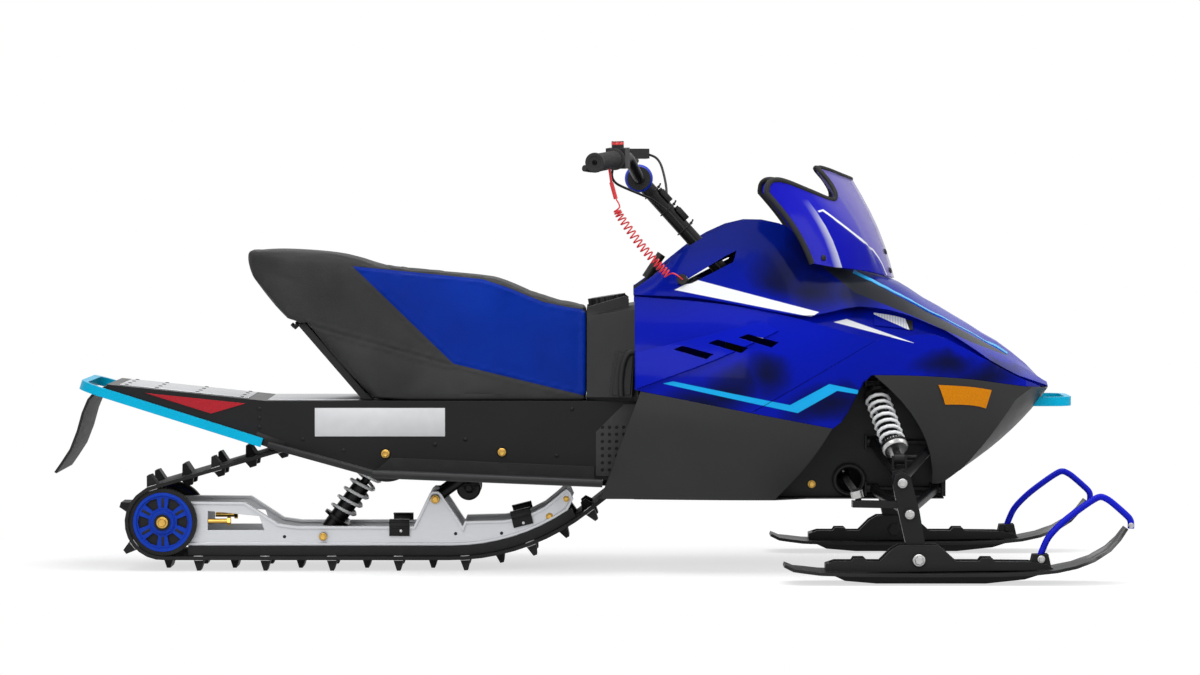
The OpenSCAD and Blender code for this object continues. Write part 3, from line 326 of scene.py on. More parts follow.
stretches = []
for i, (x, z, r) in enumerate(belt):
    start = leaving(i - 1)
    nx, nz, nr = belt[(i + 1) % 4]
    stretches.append((x, z, r, start, ((leaving(i) - start) % (2 * math.pi)) * r,
                      math.sqrt((nx - x) ** 2 + (nz - z) ** 2 - (r - nr) ** 2)))
belt_length = sum(arc + run for *_, arc, run in stretches)
rows = 2 * round(belt_length / 128)


def on_belt(s, out):
    """Point and outward direction at length s round the belt's inner face, out millimetres from it."""
    s %= belt_length
    for x, z, r, start, arc, run in stretches:
        if s < arc + run:
            a = start + min(s, arc) / r
            e = Vector((math.cos(a), 0, math.sin(a)))
            return (Vector((x, 0, z)) + (r + out) * e + max(0, s - arc) * Vector((-e.z, 0, e.x))) / 1000, e
        s -= arc + run


def block(middle, x, y, z, half):
    """Box about middle with unit directions x, y, z and half sizes in millimetres, its edges cut."""
    bm = bmesh.new()
    bmesh.ops.create_cube(bm, size=2)
    for v in bm.verts:
        v.co = [c * h / 1000 for c, h in zip(v.co, half)]
    bmesh.ops.bevel(bm, geom=bm.edges[:], offset=0.0003 * min(half), segments=2, affect="EDGES", profile=0.5)
    verts = [middle + v.co.x * x + v.co.y * y + v.co.z * z for v in bm.verts]
    faces = [tuple(v.index for v in f.verts) for f in bm.faces]
    bm.free()
    return verts, faces


def carry(piece, body="chassis"):
    """Says which body a new piece moves with."""
    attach(piece, body)


left = Vector((0, 1, 0))
clips = []
for k in range(0, rows, 2):
    for out in (7.6, -0.6):
        p, e = on_belt(k * belt_length / rows, out)
        for y in (-119, 119):
            clips.append(block(p + left * y / 1000, e.cross(left), left, e, (9, 6.5, 0.6)))
carry(solid("track_clips", clips, zinc))


# Skid frame. Pressed aluminium rails, bright and clear coated, with bolted cross shafts.
# Black slider strips are pushed on below, and the rear wheels have moulded blue centres.
@paint
def rail_aluminium():
    brushed = speckle(60, 4, (1, 30, 30))
    return shade(tint(brushed, (0.5, 0.51, 0.53), (0.62, 0.63, 0.65)), 0.34 + 0.16 * brushed,
                 relief(brushed, 0.0002, 0.25, 0.0012), metal=0.9)


@paint
def slider_black():
    return shade(tint(speckle(50, 3), (0.006, 0.006, 0.007), (0.014, 0.014, 0.015)), 0.35 + 0.2 * speckle(80),
                 relief(speckle(200, 2, (0.2, 1, 1)), 0.0003, 0.4, 0.001), specular=0.25)


@paint
def wheel_blue():
    return shade(tint(speckle(30), (0.002, 0.032, 0.38), (0.004, 0.056, 0.52)), 0.3 + 0.12 * speckle(120),
                 relief(speckle(700), 0.0002, 0.3, 0.0012), specular=0.15)


@paint
def tyre_rubber():
    return shade(tint(speckle(40, 3), (0.006, 0.006, 0.006), (0.017, 0.0165, 0.016)), 0.62 + 0.2 * speckle(70),
                 relief(speckle(500, 3), 0.0004, 0.5, 0.002), specular=0.25)


@paint
def black_powder():
    fleck = speckle(700, 2)
    return shade(tint(speckle(9, 3), (0.005, 0.005, 0.0055), (0.009, 0.009, 0.01)), 0.3 + 0.14 * speckle(35, 3),
                 relief(fleck, 0.0002, 0.35, 0.0012), specular=0.2)


@paint
def yellow_zinc():
    rainbow = speckle(140, 2)
    return shade(tint(rainbow, (0.5, 0.27, 0.05), (0.78, 0.5, 0.13)), 0.24 + 0.12 * rainbow,
                 relief(speckle(900), 0.0001, 0.3, 0.0008), metal=1.0)


coat(rail_aluminium, "rails")
coat(slider_black, "sliders")
coat(wheel_blue, "wheel_discs")
coat(tyre_rubber, "wheel_tyres")
coat(black_powder, "skid_shafts")
coat(black_powder, "front_arm", "shocks", "tunnel", "bulkhead")


def lathe(foot, axis, profile, sides=16, turn=0.0):
    """Solid of revolution: profile rows (along the axis, radius) in millimetres."""
    up = Vector(axis).normalized()
    u = up.orthogonal().normalized()
    v = up.cross(u)
    foot = Vector(foot) / 1000
    verts = [foot + up * h / 1000 + (r / 1000) * (math.cos(a) * u + math.sin(a) * v) for h, r in profile
             for a in (turn + 2 * math.pi * s / sides for s in range(sides))]
    n = len(profile)
    faces = [(i * sides + s, i * sides + (s + 1) % sides, (i + 1) * sides + (s + 1) % sides, (i + 1) * sides + s)
             for i in range(n - 1) for s in range(sides)]
    return verts, faces + [tuple(range(sides - 1, -1, -1)), tuple(range((n - 1) * sides, n * sides))]


def bolt(foot, axis, r):
    """Flanged hexagon head: washer face, six flats and a dished top."""
    return [lathe(foot, axis, [(0, 1.35 * r), (0.16 * r, 1.35 * r), (0.3 * r, 1.2 * r)], 20),
            lathe(foot, axis, [(0.25 * r, r), (0.75 * r, r), (0.95 * r, 0.86 * r), (0.9 * r, 0.5 * r)], 6)]


def pair(shapes):
    """The shapes and their mirror images on the other side."""
    return shapes + [([Vector((p.x, -p.y, p.z)) for p in v], [tuple(reversed(f)) for f in faces])
                     for v, faces in shapes]


def surface(node):
    """Ray target made of a node's mesh."""
    mesh = frame["nodes"][node].data
    return BVHTree.FromPolygons([v.co for v in mesh.vertices], [f.vertices for f in mesh.polygons])


rail_side = surface("rails")


def on_rail(x, z):
    """Point on the left rail's outer face at a point of the side view, in millimetres."""
    return rail_side.ray_cast(Vector((x / 1000, 1, z / 1000)), -left)[0] * 1000


gold = []
for x, y, z, r in ((wheel_x, 131, wheel_z, 8.5), (-301, 106, 141, 6.5), (-523, 106, 67, 6), (-397, 156, 234, 6.2),
                   (-168, 156, 237, 6.2)):
    gold += bolt((x, y, z), left, r)
for x, z, r in ((-75, 106, 5.5), (-42, 141, 4.5)):
    gold += bolt(on_rail(x, z), left, r)
carry(solid("skid_bolts", pair(gold), yellow_zinc, 30))
plugs = [lathe(on_rail(x, z), left, [(0, 3.4), (0.6, 3.2), (0.9, 1.5)], 14)
         for x, z in ((-261, 72), (-170, 73), (-600, 66))]
carry(solid("rail_plugs", pair(plugs), slider_black))
roller_x, roller_z = -236, 160
roller_rim = [(0, 12), (0, 21), (3, 24), (26, 24), (29, 21), (29, 12)]
roller = [lathe((roller_x, y, roller_z), left, roller_rim, 32) for y in (-62, 33)]
roller += [lathe((roller_x, -64, roller_z), left, [(0, 6), (128, 6)], 16),
           tube([Vector((roller_x, 0, roller_z)) / 1000, Vector((-262, 0, 176)) / 1000], 0.009, 12)]
carry(solid("arm_rollers", roller, slider_black, 30))

backing = lathe((wheel_x, 104.7, wheel_z), left, [(0, 24.5), (0, 52), (0.8, 52), (0.8, 24.5)], 40)
inner_disc = lathe((wheel_x, 100.1, wheel_z), left, [(0, 24), (0, 57), (0.8, 57.5), (0.8, 24)], 40)
spokes = []
for k in range(6):
    a = math.radians(60 * k + 30)
    d = Vector((math.cos(a), 0, math.sin(a)))
    spokes.append(block((Vector((wheel_x, 116.2, wheel_z)) + 38 * d) / 1000, d, left, d.cross(left), (9, 0.4, 2.6)))
carry(solid("wheel_backs", pair([backing, inner_disc] + spokes), slider_black, 30))
adjuster = [lathe((-751, 92, 97), (1, 0, 0), [(0, 5), (38, 5), (38.5, 4.6)], 16),
            lathe((-713, 92, 97), (1, 0, 0), [(0, 9), (6, 9), (7, 8)], 6)]
carry(solid("track_adjusters", pair(adjuster), yellow_zinc, 30))

# Limiter brackets. Folded steel plates, powder coated black and hooked over the rails' top edge.
# A zinc rivet through each one holds it.
brackets = []
for x, z, lean in ((-372, 84, 0), (-130, 104, 14)):
    d = Vector((math.cos(math.radians(lean)), 0, math.sin(math.radians(lean))))
    n = Vector((-d.z, 0, d.x))
    at = Vector((x, 101.5, z)) / 1000
    brackets += [block(at, d, left, n, (20, 1.2, 16)), block(at + n * 0.013 + left * 0.002, d, left, n, (20, 3, 1.5)),
                 block(at + n * 0.001 + left * 0.0022, d, left, n, (20, 2, 1.2)),
                 block(at + n * 0.0155 - left * 0.009, d, left, n, (20, 10, 1.2))]
carry(solid("rail_brackets", pair(brackets), black_powder, 30))
rivets = [lathe((x, 102.6, z), left, [(0, 3), (0.6, 2.8), (1, 1.2)], 14) for x, z in ((-369, 78), (-126.5, 94))]
carry(solid("bracket_rivets", pair(rivets), zinc))


# Springs. Spring wire with a white powder coat, wound cold and held between the dampers' cups.
# Two stand in front and one in the skid frame.
@paint
def spring_white():
    return shade(tint(speckle(60, 3), (0.7, 0.71, 0.72), (0.86, 0.87, 0.88)), 0.3 + 0.15 * speckle(50),
                 relief(speckle(900), 0.0001, 0.3), coat=0.3)


def skin(node, finish, smooth=32):
    """A smooth-shaded copy of a faceted node, standing for it."""
    bm = bmesh.new()
    bm.from_mesh(frame["nodes"][node].data)
    bmesh.ops.remove_doubles(bm, verts=bm.verts, dist=1e-5)
    for face in bm.faces:
        face.smooth = True
    for edge in bm.edges:
        edge.smooth = len(edge.link_faces) == 2 and edge.calc_face_angle(0) < math.radians(smooth)
    mesh = bpy.data.meshes.new(node + "_skin")
    bm.to_mesh(mesh)
    bm.free()
    if "custom_normal" in mesh.attributes:
        mesh.attributes.remove(mesh.attributes["custom_normal"])
    mesh.materials.clear()
    mesh.materials.append(finish)
    made = bpy.data.objects.new(node + "_skin", mesh)
    scene.collection.objects.link(made)
    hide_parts(node)
    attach(made, frame["nodes"][node]["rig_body"])
    return made


skin("springs", spring_white, 60)


# Tunnel and running boards. Folded sheet, powder coated black, riveted along its seams.
# The boards are punched for grip, and the toe plates carry rows of small holes.
@paint
def tread_black():
    scuff = fade(speckle(28, 4), 0.5, 0.8)
    return shade(tint(scuff, (0.009, 0.009, 0.01), (0.02, 0.02, 0.021)), 0.42 + 0.2 * scuff,
                 relief(speckle(500, 3), 0.0004, 0.5, 0.001), specular=0.3)


@paint
def blank_label():
    return shade(tint(speckle(40, 3), (0.6, 0.61, 0.63), (0.7, 0.71, 0.72)), 0.3 + 0.1 * speckle(90),
                 relief(speckle(600), 0.0001, 0.2, 0.0006))


@paint
def toe_plate():
    scuff = fade(speckle(28, 4), 0.5, 0.8)
    return shade(tint(scuff, (0.02, 0.02, 0.021), (0.036, 0.036, 0.037)), 0.4 + 0.2 * scuff,
                 relief(speckle(500, 3), 0.0004, 0.5, 0.001), specular=0.4)


coat(tread_black, "running_boards")
coat(toe_plate, "foot_plates")
rivet_at = [(-645, 322), (-645, 304), (-645, 286), (-560, 262), (-480, 240), (-300, 252), (-60, 230), (-30, 322),
            (-240, 262)]
rivets = [lathe((x, 150, z), left, [(0, 4.2), (0.8, 4.1), (1.7, 3), (2.1, 1.2)], 14) for x, z in rivet_at]
carry(solid("tunnel_rivets", pair(rivets), black_powder))


# Tail deck and label. A bright aluminium heat plate is screwed on top of the tail,
# and a blank silver plate is glued to the tunnel's right side.
fall = Vector((1, 0, -0.104)).normalized()
deck_up = Vector((0.104, 0, 1)).normalized()


def on_deck(x, y, lift):
    """Point on the tail's deck, lift millimetres above it."""
    return Vector((x, y, 338 + (-633 - x) * 0.104)) / 1000 + deck_up * lift / 1000


forward, upward, plate_half = Vector((1, 0, 0)), Vector((0, 0, 1)), 122
plates = [block(on_deck(-795, 0, 0.8), fall, left, deck_up, (128, plate_half, 0.8)),
          block(Vector((-540, 0, 338.8)) / 1000, forward, left, upward, (90, plate_half, 0.8))]
carry(solid("deck_plate", plates, rail_aluminium))
screw_head = [(0, 4.5), (0.5, 4.3), (1.1, 3), (1.2, 1.5), (0.6, 1.3)]
screws = [lathe(on_deck(x, y, 1.6) * 1000, deck_up, screw_head, 16)
          for x in (-910, -850, -770, -682) for y in (112, 40)]
carry(solid("deck_screws", pair(screws), black_powder))
label = block(Vector((-408, -150.5, 296)) / 1000, forward, left, upward, (128, 0.5, 28))
carry(solid("label_plate", [label], blank_label))


# Rear bumper and snow flap. A bent flat bar in cyan enamel bolted to the tunnel's sides,
# and a sheet of black rubber that hangs from the tail.
@paint
def cyan_enamel():
    peel = speckle(260, 2)
    return shade(tint(speckle(14, 3), (0.001, 0.4, 0.64), (0.002, 0.46, 0.74)), 0.26 + 0.14 * speckle(60, 3),
                 relief(peel, 0.0002, 0.2, 0.0015), specular=0.06, coat=0.05, coat_rough=0.08)


@paint
def flap_rubber():
    return shade(tint(speckle(25, 4), (0.006, 0.006, 0.0065), (0.015, 0.015, 0.016)), 0.5 + 0.25 * speckle(60, 3),
                 relief(speckle(350, 3), 0.0005, 0.5, 0.0015), specular=0.3)


@paint
def reflector_red():
    prism = Wire.node("TexVoronoi", None, {"Vector": place(), "Scale": 320.0})
    return shade(tint(prism, (0.36, 0.004, 0.012), (0.46, 0.008, 0.02)), 0.18 + 0.1 * speckle(90),
                 relief(prism, 0.0004, 0.2, 0.0008), specular=0.2, coat=0.15)


coat(cyan_enamel, "rear_bumper", "front_bumper")
coat(flap_rubber, "snow_flap")
coat(reflector_red, "red_reflectors")

foot_rear, foot_front = Vector((-655, 152, 268)), Vector((-596, 152, 246))
foot_dir = (foot_front - foot_rear).normalized()
foot = block((foot_rear + foot_front) / 2000, foot_dir, left, foot_dir.cross(left), (30, 2, 11))
carry(solid("bumper_feet", pair([foot]), black_powder, 30))


# Seat. Sewn vinyl over foam: charcoal grained cover with a blue panel let into each side.
# The cover is pulled down over the base, the seams draw lines into the foam, and latches hold the rear.
insert_top = [(-463, 602), (-206, 576), (-158, 560), (-87, 531), (-39, 521), (5, 514)]
insert_low = [(-463, 602), (-264, 411), (0, 347)]


def profile(x, rows):
    """Height in metres, at x, of a line through rows of millimetres."""
    first, last = rows[0][0], rows[-1][0]
    return Wire.node("ValToRGB", {"stops": [((r[0] - first) / (last - first), r[1] / 1000) for r in rows]},
                     {0: fade(x, first / 1000, last / 1000)})


def between(x, z, upper, lower, soft=0.0005):
    """1 inside the figure between two lines that run forward."""
    inside = (profile(x, upper) - z) & (z - profile(x, lower)) & (x - lower[0][0] / 1000) & (lower[-1][0] / 1000 - x)
    return fade(inside, -soft, soft)


def axes():
    split = Wire.node("SeparateXYZ", None, {0: place()}).socket.node
    return [Wire(split.outputs[i]) for i in range(3)]


@paint
def seat_vinyl():
    x, y, z = axes()
    panel = between(x, z, insert_top, insert_low) * fade(abs(y), 0.07, 0.075)
    grain = Wire.node("TexVoronoi", {"feature": "SMOOTH_F1"}, {"Vector": place(), "Scale": 620.0})
    cloud = fade(speckle(7, 5), 0.35, 0.7)
    dark = tint(cloud, (0.03, 0.03, 0.0305), (0.046, 0.046, 0.0465))
    blue = tint(cloud, (0.0003, 0.018, 0.23), (0.0004, 0.025, 0.3))
    return shade(tint(panel, dark, blue), 0.42 + 0.16 * speckle(40, 3) - 0.06 * panel,
                 relief(grain * 0.7 + 0.3 * speckle(45, 4), 0.0007, 0.45), specular=0.06)


def shift(mesh, by):
    """Moves each vertex along its own normal by what by(point) gives."""
    for v, away in zip(mesh.vertices, [v.normal.copy() for v in mesh.vertices]):
        v.co += away * by(v.co)


def swell(node, voxel, cap, pins, pressure=4.0):
    """Voxel copy of a solid, a little smaller, that cloth under pressure has filled out again."""
    bm = bmesh.new()
    bm.from_mesh(frame["nodes"][node].data)
    bmesh.ops.remove_doubles(bm, verts=bm.verts, dist=1e-5)
    mesh = bpy.data.meshes.new(node + "_cover")
    bm.to_mesh(mesh)
    bm.free()
    made = bpy.data.objects.new(node + "_cover", mesh)
    scene.collection.objects.link(made)
    grid = made.modifiers.new("grid", "REMESH")
    grid.mode, grid.voxel_size = "VOXEL", voxel
    made.data = bpy.data.meshes.new_from_object(made.evaluated_get(bpy.context.evaluated_depsgraph_get()))
    made.modifiers.clear()
    shift(made.data, lambda p: 0.0 if pins(p) else -0.003 * min(1, max(0, (p.x + 0.66) / 0.08)))
    start = [v.co.copy() for v in made.data.vertices]
    made.vertex_groups.new(name="pins").add([v.index for v in made.data.vertices if pins(v.co)], 1.0, "REPLACE")
    cloth = made.modifiers.new("cloth", "CLOTH")
    cloth.settings.quality, cloth.settings.mass = 5, 0.3
    cloth.settings.use_pressure, cloth.settings.uniform_pressure_force = True, pressure
    cloth.settings.vertex_group_mass = "pins"
    cloth.settings.effector_weights.gravity = 0
    cloth.point_cache.frame_start, cloth.point_cache.frame_end = 1, 20
    for moment in range(1, 21):
        scene.frame_set(moment)
    filled = made.evaluated_get(bpy.context.evaluated_depsgraph_get()).to_mesh()
    ends = [v.co.copy() for v in filled.vertices]
    made.modifiers.clear()
    scene.frame_set(1)
    for v, a, b in zip(made.data.vertices, start, ends):
        step = b - a
        v.co = a + step * min(1, cap / max(step.length, 1e-9))
    return made


def near_line(x, z, rows):
    """Distance in metres from a point to a line through rows of millimetres."""
    best = 1.0
    p = Vector((x, z))
    for a, b in zip(rows, rows[1:]):
        a, b = Vector(a) / 1000, Vector(b) / 1000
        t = max(0, min(1, (p - a).dot(b - a) / (b - a).length_squared))
        best = min(best, (a + t * (b - a) - p).length)
    return best


seams = [insert_top, insert_low, [(-640, 512), (-563.7, 490), (-329.4, 425.5), (-268, 408)]]


def seat_pins(p):
    return (p.z < 0.346 or p.x > -0.012 or p.x < -0.655
            or abs(p.y) > 0.06 and min(near_line(p.x, p.z, s) for s in seams) < 0.006)


cover = swell("seat", 0.0065, 0.006, seat_pins)
finer = cover.modifiers.new("finer", "SUBSURF")
finer.levels = 1
cover.data = bpy.data.meshes.new_from_object(cover.evaluated_get(bpy.context.evaluated_depsgraph_get()))
cover.modifiers.clear()
shift(cover.data, lambda p: -0.0036 * math.exp(-(min(near_line(p.x, p.z, s) for s in seams) / 0.0042) ** 2)
      if abs(p.y) > 0.06 else 0)
tail_fill = [(-668, 2), (-653, 6), (-629, 11), (-606, 15), (-580, 18), (-566, 12), (-554, 0)]
back_down, back_up = Vector((-0.7, 0, -0.714)), Vector((-0.7, 0, 0.714))
for v, facing in zip(cover.data.vertices, [v.normal.copy() for v in cover.data.vertices]):
    x = 1000 * v.co.x
    full = next((a[1] + (b[1] - a[1]) * max(0, x - a[0]) / (b[0] - a[0])
                 for a, b in zip(tail_fill, tail_fill[1:]) if x < b[0]), 0)
    v.co += (full * max(0, facing.dot(back_down)) * back_down
             + 7 * max(0, facing.dot(back_up)) * math.exp(-((x + 668) / 9) ** 2) * back_up) / 1000
cover.data.shade_smooth()
cover.data.materials.clear()
cover.data.materials.append(seat_vinyl)
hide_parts("seat")
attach(cover, "chassis")
hasp, hasp_dir, hasp_up = [], Vector((0.7, 0, 0.714)), Vector((-0.714, 0, 0.7))
for y in (-70, 70):
    hasp += [block(Vector((-577, y, 483)) / 1000, hasp_dir, left, hasp_up, (6, 16, 4)),
             lathe((-585, y, 486), hasp_up, [(-6, 4), (1, 4), (2, 3)], 14)]
carry(solid("seat_latches", hasp, black_powder, 30))


# Console, fuel cap and seat support. Black plastic with a fine moulded grain.
# The console is clipped over the tank, and the support slants from the tunnel up to the seat's tail.
@paint
def moulded_black():
    fine = speckle(850, 2)
    return shade(tint(speckle(16, 3), (0.008, 0.008, 0.009), (0.015, 0.015, 0.016)), 0.38 + 0.16 * speckle(45, 3),
                 relief(fine, 0.0003, 0.4, 0.0018), specular=0.3)


coat(moulded_black, "fuel_cap", "seat_support", "starter_handle", "kill_switch", "track_wheels", "belly_pan")
skin("console", moulded_black, 38)


# Engine. A cast aluminium block, left as cast and bolted to four feet.
# The hood closes it in, so that little of it is seen.
@paint
def cast_alloy():
    return shade(tint(speckle(70, 4), (0.2, 0.2, 0.205), (0.34, 0.34, 0.34)), 0.45 + 0.2 * speckle(120, 3),
                 relief(speckle(260, 4), 0.0008, 0.6, 0.004), metal=0.7)


coat(cast_alloy, "engine")


# Hood, side panels and cheeks. Injection moulded, painted deep gloss cobalt and clear coated.
# Printed film gives the stripes and most of the dark clouds, and the dash well inside is left black.
# Painted shade is laid into the colour too: a near-black band under the ridge, a few dark clouds below
# the windshield and along the cheeks' lower edge by the nose, and a blue that darkens towards the top.
@paint
def cobalt_gloss():
    x, y, z = axes()
    stripe = between(x, z, [(171, 557.5), (211, 578), (452, 515)], [(171, 557.5), (437, 506), (452, 515)])
    flash = between(x, z, [(482, 495.5), (507, 501), (636, 455.5)], [(482, 495), (636, 455)])
    zigzag = between(x, z, [(148.8, 377), (167.5, 380.8), (394.1, 335.5), (470.7, 376.3), (527, 364.4)],
                     [(148.8, 376.3), (409.3, 320.2), (486, 363.3), (527, 356.3)])
    # Painted shade: a near-black band just under the hood's ridge, from the windshield's foot to the nose.
    ridge_shade = between(x, z, [(452, 611), (521, 592), (836, 424)],
                    [(452, 610), (524, 552), (629, 510), (760, 452), (836, 423)])
    sway = 0.09 * (speckle(9, 4) - 0.5)
    # Most of these dark clouds are a printed pattern. A few, below the windshield and along the cheeks' lower edge by
    # the nose, are painted shade.
    cloud = 0.25 * speckle(5, 4, (1, 1, 1.6))
    for cx, cz, rx, rz in ((0.39, 0.587, 0.08, 0.06), (0.45, 0.64, 0.07, 0.07), (0.45, 0.565, 0.09, 0.06),
                           (0.283, 0.366, 0.065, 0.045), (0.53, 0.56, 0.07, 0.05), (0.345, 0.392, 0.065, 0.045),
                           (0.232, 0.347, 0.1, 0.035), (0.474, 0.339, 0.09, 0.045), (0.7, 0.412, 0.08, 0.03),
                           (0.78, 0.392, 0.08, 0.03)):
        u, w = (x + sway - cx) * (1 / rx), (z + sway - cz) * (1 / rz)
        cloud = cloud | fade(1.2 - u * u - w * w, 0.0, 1.4)
    cloud = fade(cloud, 0.03, 0.86) * (1 - between(
        x, z, [(95, 437), (240, 472), (344, 499), (372, 479)], [(95, 366), (250, 424), (372, 478)]))
    well = fade(0.147 - abs(y), -0.001, 0.001) * fade(0.4 - x, -0.001, 0.001)
    # Painted shading: the blue darkens towards the top, over a random mottle.
    mottle_and_height_shade = fade(speckle(3.2, 3) + 1.2 * fade(z, 0.5, 0.72), 0.35, 1.3)
    blue = tint(cloud, tint(mottle_and_height_shade, (0.0008, 0.008, 0.43), (0.0008, 0.009, 0.19)), (0.002, 0.004, 0.04))
    print_and_shade = tint(zigzag, tint(ridge_shade, blue, (0.012, 0.014, 0.02)), (0.012, 0.4, 0.82))
    print_and_shade = tint(stripe | flash, print_and_shade, (0.82, 0.84, 0.86))
    return shade(tint(well, print_and_shade, (0.008, 0.008, 0.009)), 0.2 + 0.05 * speckle(30, 3) + 0.3 * well,
                 relief(speckle(180, 2), 0.0001, 0.12, 0.0015), specular=0.03, coat=0.05 - 0.05 * well,
                 coat_rough=0.05)


for panel in ("hood", "side_panels", "cheeks"):
    skin(panel, cobalt_gloss, 22)


# Hood lines. An even strip of cyan film on each side of the hood, just below its ridge.
# It is cut from printed sheet and stuck on.
@paint
def cyan_film():
    return shade(tint(speckle(20, 2), (0.008, 0.34, 0.72), (0.012, 0.42, 0.82)), 0.25 + 0.08 * speckle(60),
                 relief(speckle(400), 0.0001, 0.1))


hood_top = surface("hood")
rim_y, line_steps = [], 44
for k in range(line_steps + 1):
    x = 0.524 + 0.308 * k / line_steps
    want = 0.595 - (x - 0.521) * 0.1665 / 0.315
    near, far = 0.04, 0.2
    for _ in range(24):
        y = (near + far) / 2
        near, far = (y, far) if hood_top.ray_cast(Vector((x, -y, 1)), Vector((0, 0, -1)))[0].z > want else (near, y)
    rim_y.append((x, near))
strip, width, lift, sunk = [], 0.013, 0.0013, 0.0008
for k, (x, _) in enumerate(rim_y):
    span = rim_y[max(k - 4, 0):k + 5]
    hit, up, *_ = hood_top.ray_cast(Vector((x, -sum(y for _, y in span) / len(span), 1)), Vector((0, 0, -1)))
    across = up.cross(Vector((1, 0, -0.53))).normalized() * width / 2
    strip += [hit + across + up * lift, hit - across + up * lift, hit - across - up * sunk, hit + across - up * sunk]
faces = [(4 * k + i, 4 * k + (i + 1) % 4, 4 * k + 4 + (i + 1) % 4, 4 * k + 4 + i)
         for k in range(line_steps) for i in range(4)]
ends = [(3, 2, 1, 0), tuple(range(4 * line_steps, 4 * line_steps + 4))]
carry(solid("hood_lines", pair([(strip, faces + ends)]), cyan_film, 60))


# Headlights. Clear moulded lenses under the brows of the hood, each glued in a plate that is painted
# below the lens and left black in front of it; that black is painted shade, standing in for a recess.
@paint
def lamp_lens():
    flute = Wire.node("TexWave", {"bands_direction": "X"}, {"Vector": place(), "Scale": 60.0})
    return shade(tint(flute, (0.62, 0.66, 0.7), (0.88, 0.9, 0.92)), 0.08 + 0.1 * speckle(80),
                 relief(flute, 0.0004, 0.3), coat=0.8)


lamps = skin("headlights", lamp_lens)
lamps.data.materials.append(cobalt_gloss)
lamps.data.materials.append(moulded_black)
cuts = [(Vector((0.565, 0, 0.508)), Vector((29, 0, 65)).normalized()),
        (Vector((0.621, 0, 0.5025)), Vector((23.5, 0, 9)).normalized())]
bm = bmesh.new()
bm.from_mesh(lamps.data)
for at, across in cuts:
    bmesh.ops.bisect_plane(bm, geom=bm.verts[:] + bm.edges[:] + bm.faces[:], plane_co=at, plane_no=across)
# Faces below the first cut take the blue paint. Faces ahead of the second are black, as painted shade for a recess.
for face in bm.faces:
    low, ahead = [(face.calc_center_median() - at).dot(across) for at, across in cuts]
    face.material_index = 1 if low < 0 else 2 if ahead > 0 else 0
bm.to_mesh(lamps.data)
bm.free()


# Windshield. Thermoformed tinted sheet, screwed to the hood, with a rubber strip pushed on its free edge.
# A darker printed corner with a pale border is on each side near the foot.
# The tint is painted paler and clearer towards the middle as a reflection, and a painted glint lies beside each
# corner.
shield_face = surface("windshield")


def round_sheet(rows):
    """Side-view rows (x, z) as rows (y, z) on the right half of the sheet, in millimetres."""
    return [(1000 * shield_face.ray_cast(Vector((x / 1000, -1, z / 1000)), left)[0].y, z) for x, z in rows]


patch_top = round_sheet([(451, 707.9), (462, 711), (492, 689), (522.6, 666), (545, 648), (564.6, 632.4), (577, 616),
                         (585.4, 603), (590, 590)])
patch_foot = [(patch_top[0][0], 600), (patch_top[-1][0], 578)]


@paint
def shield_tint():
    x, y, z = axes()
    round_y = 0 - abs(y)
    dark = between(round_y, z, patch_top, patch_foot)
    outer = [(a + 4, b + 4) for a, b in patch_top]
    border = between(round_y, z, outer, [(outer[0][0], 600), (outer[-1][0], 576)]) - dark
    haze = speckle(12, 3)
    # Painted reflection: the tint is paler and more see-through towards the middle, and deeper blue towards the
    # sides.
    side = fade(abs(y), 0.03, 0.16)
    edge = patch_top[0][0] / 1000
    # Painted glint: a pale band beside the printed corner, low on the sheet.
    gleam = fade(round_y, edge - 0.014, edge) * fade(edge - round_y, -0.0004, 0.0004) * fade(0.735 - z, 0.0, 0.05)
    hue = tint(side, tint(haze, (0.26, 0.23, 0.6), (0.32, 0.28, 0.64)),
               tint(haze, (0.006, 0.006, 0.46), (0.012, 0.012, 0.6)))
    hue = tint(dark, tint(0.8 * gleam, hue, (0.86, 0.87, 0.95)), (0.0005, 0.002, 0.4))
    return shade(tint(border, hue, (0.86, 0.87, 0.9)), 0.1 + 0.06 * haze, relief(speckle(20, 2), 0.0002, 0.1),
                 alpha=0.5 + 0.32 * side + 0.15 * (dark | border), specular=0.06, coat=0.06, coat_rough=0.03)


@paint
def trim_rubber():
    return shade(tint(speckle(60, 3), (0.006, 0.006, 0.0065), (0.014, 0.014, 0.015)), 0.5 + 0.2 * speckle(80),
                 relief(speckle(500), 0.0003, 0.4), specular=0.3)


skin("windshield", shield_tint, 40)
shield_rows = [(0, 612, 580, 527, 775), (30, 606, 582, 508, 782), (62, 594, 586, 476, 794),
               (80, 583.2, 588.7, 459, 796), (92, 576.3, 590.4, 478, 772), (104, 568, 592.5, 491, 748),
               (114, 560.2, 594.3, 485, 734), (150, 528, 600, 441, 750), (186, 483, 605.4, 390, 770),
               (200, 462.6, 608.9, 367, 773), (209, 448.7, 611.5, 355.5, 765), (214, 441, 613, 352, 748)]
crest = smooth_line([(r[3], r[0], r[4]) for r in shield_rows], 110)
y0, bx, bz, tx, tz = shield_rows[-1]
flank = [Vector((bx + (tx - bx) * v + 10 * math.sin(math.pi * v), y0 + 4 * math.sin(math.pi * v),
                 bz - 3 + (tz - bz + 3) * v)) / 1000 for v in (k / 12 for k in range(12, -1, -1))]
half_edge = crest + flank[1:]
edge_line = [Vector((p.x, -p.y, p.z)) for p in reversed(half_edge)] + half_edge[1:]
inward = [p + Vector((-0.002, 0, -0.001)) for p in edge_line]
beads = [0.0046 + 0.001 * min(1, max(0, (abs(p.y) - 0.1) / 0.06)) for p in inward]
carry(solid("windshield_edge", [tube(inward, beads, 10)], trim_rubber, 80))
screws = []
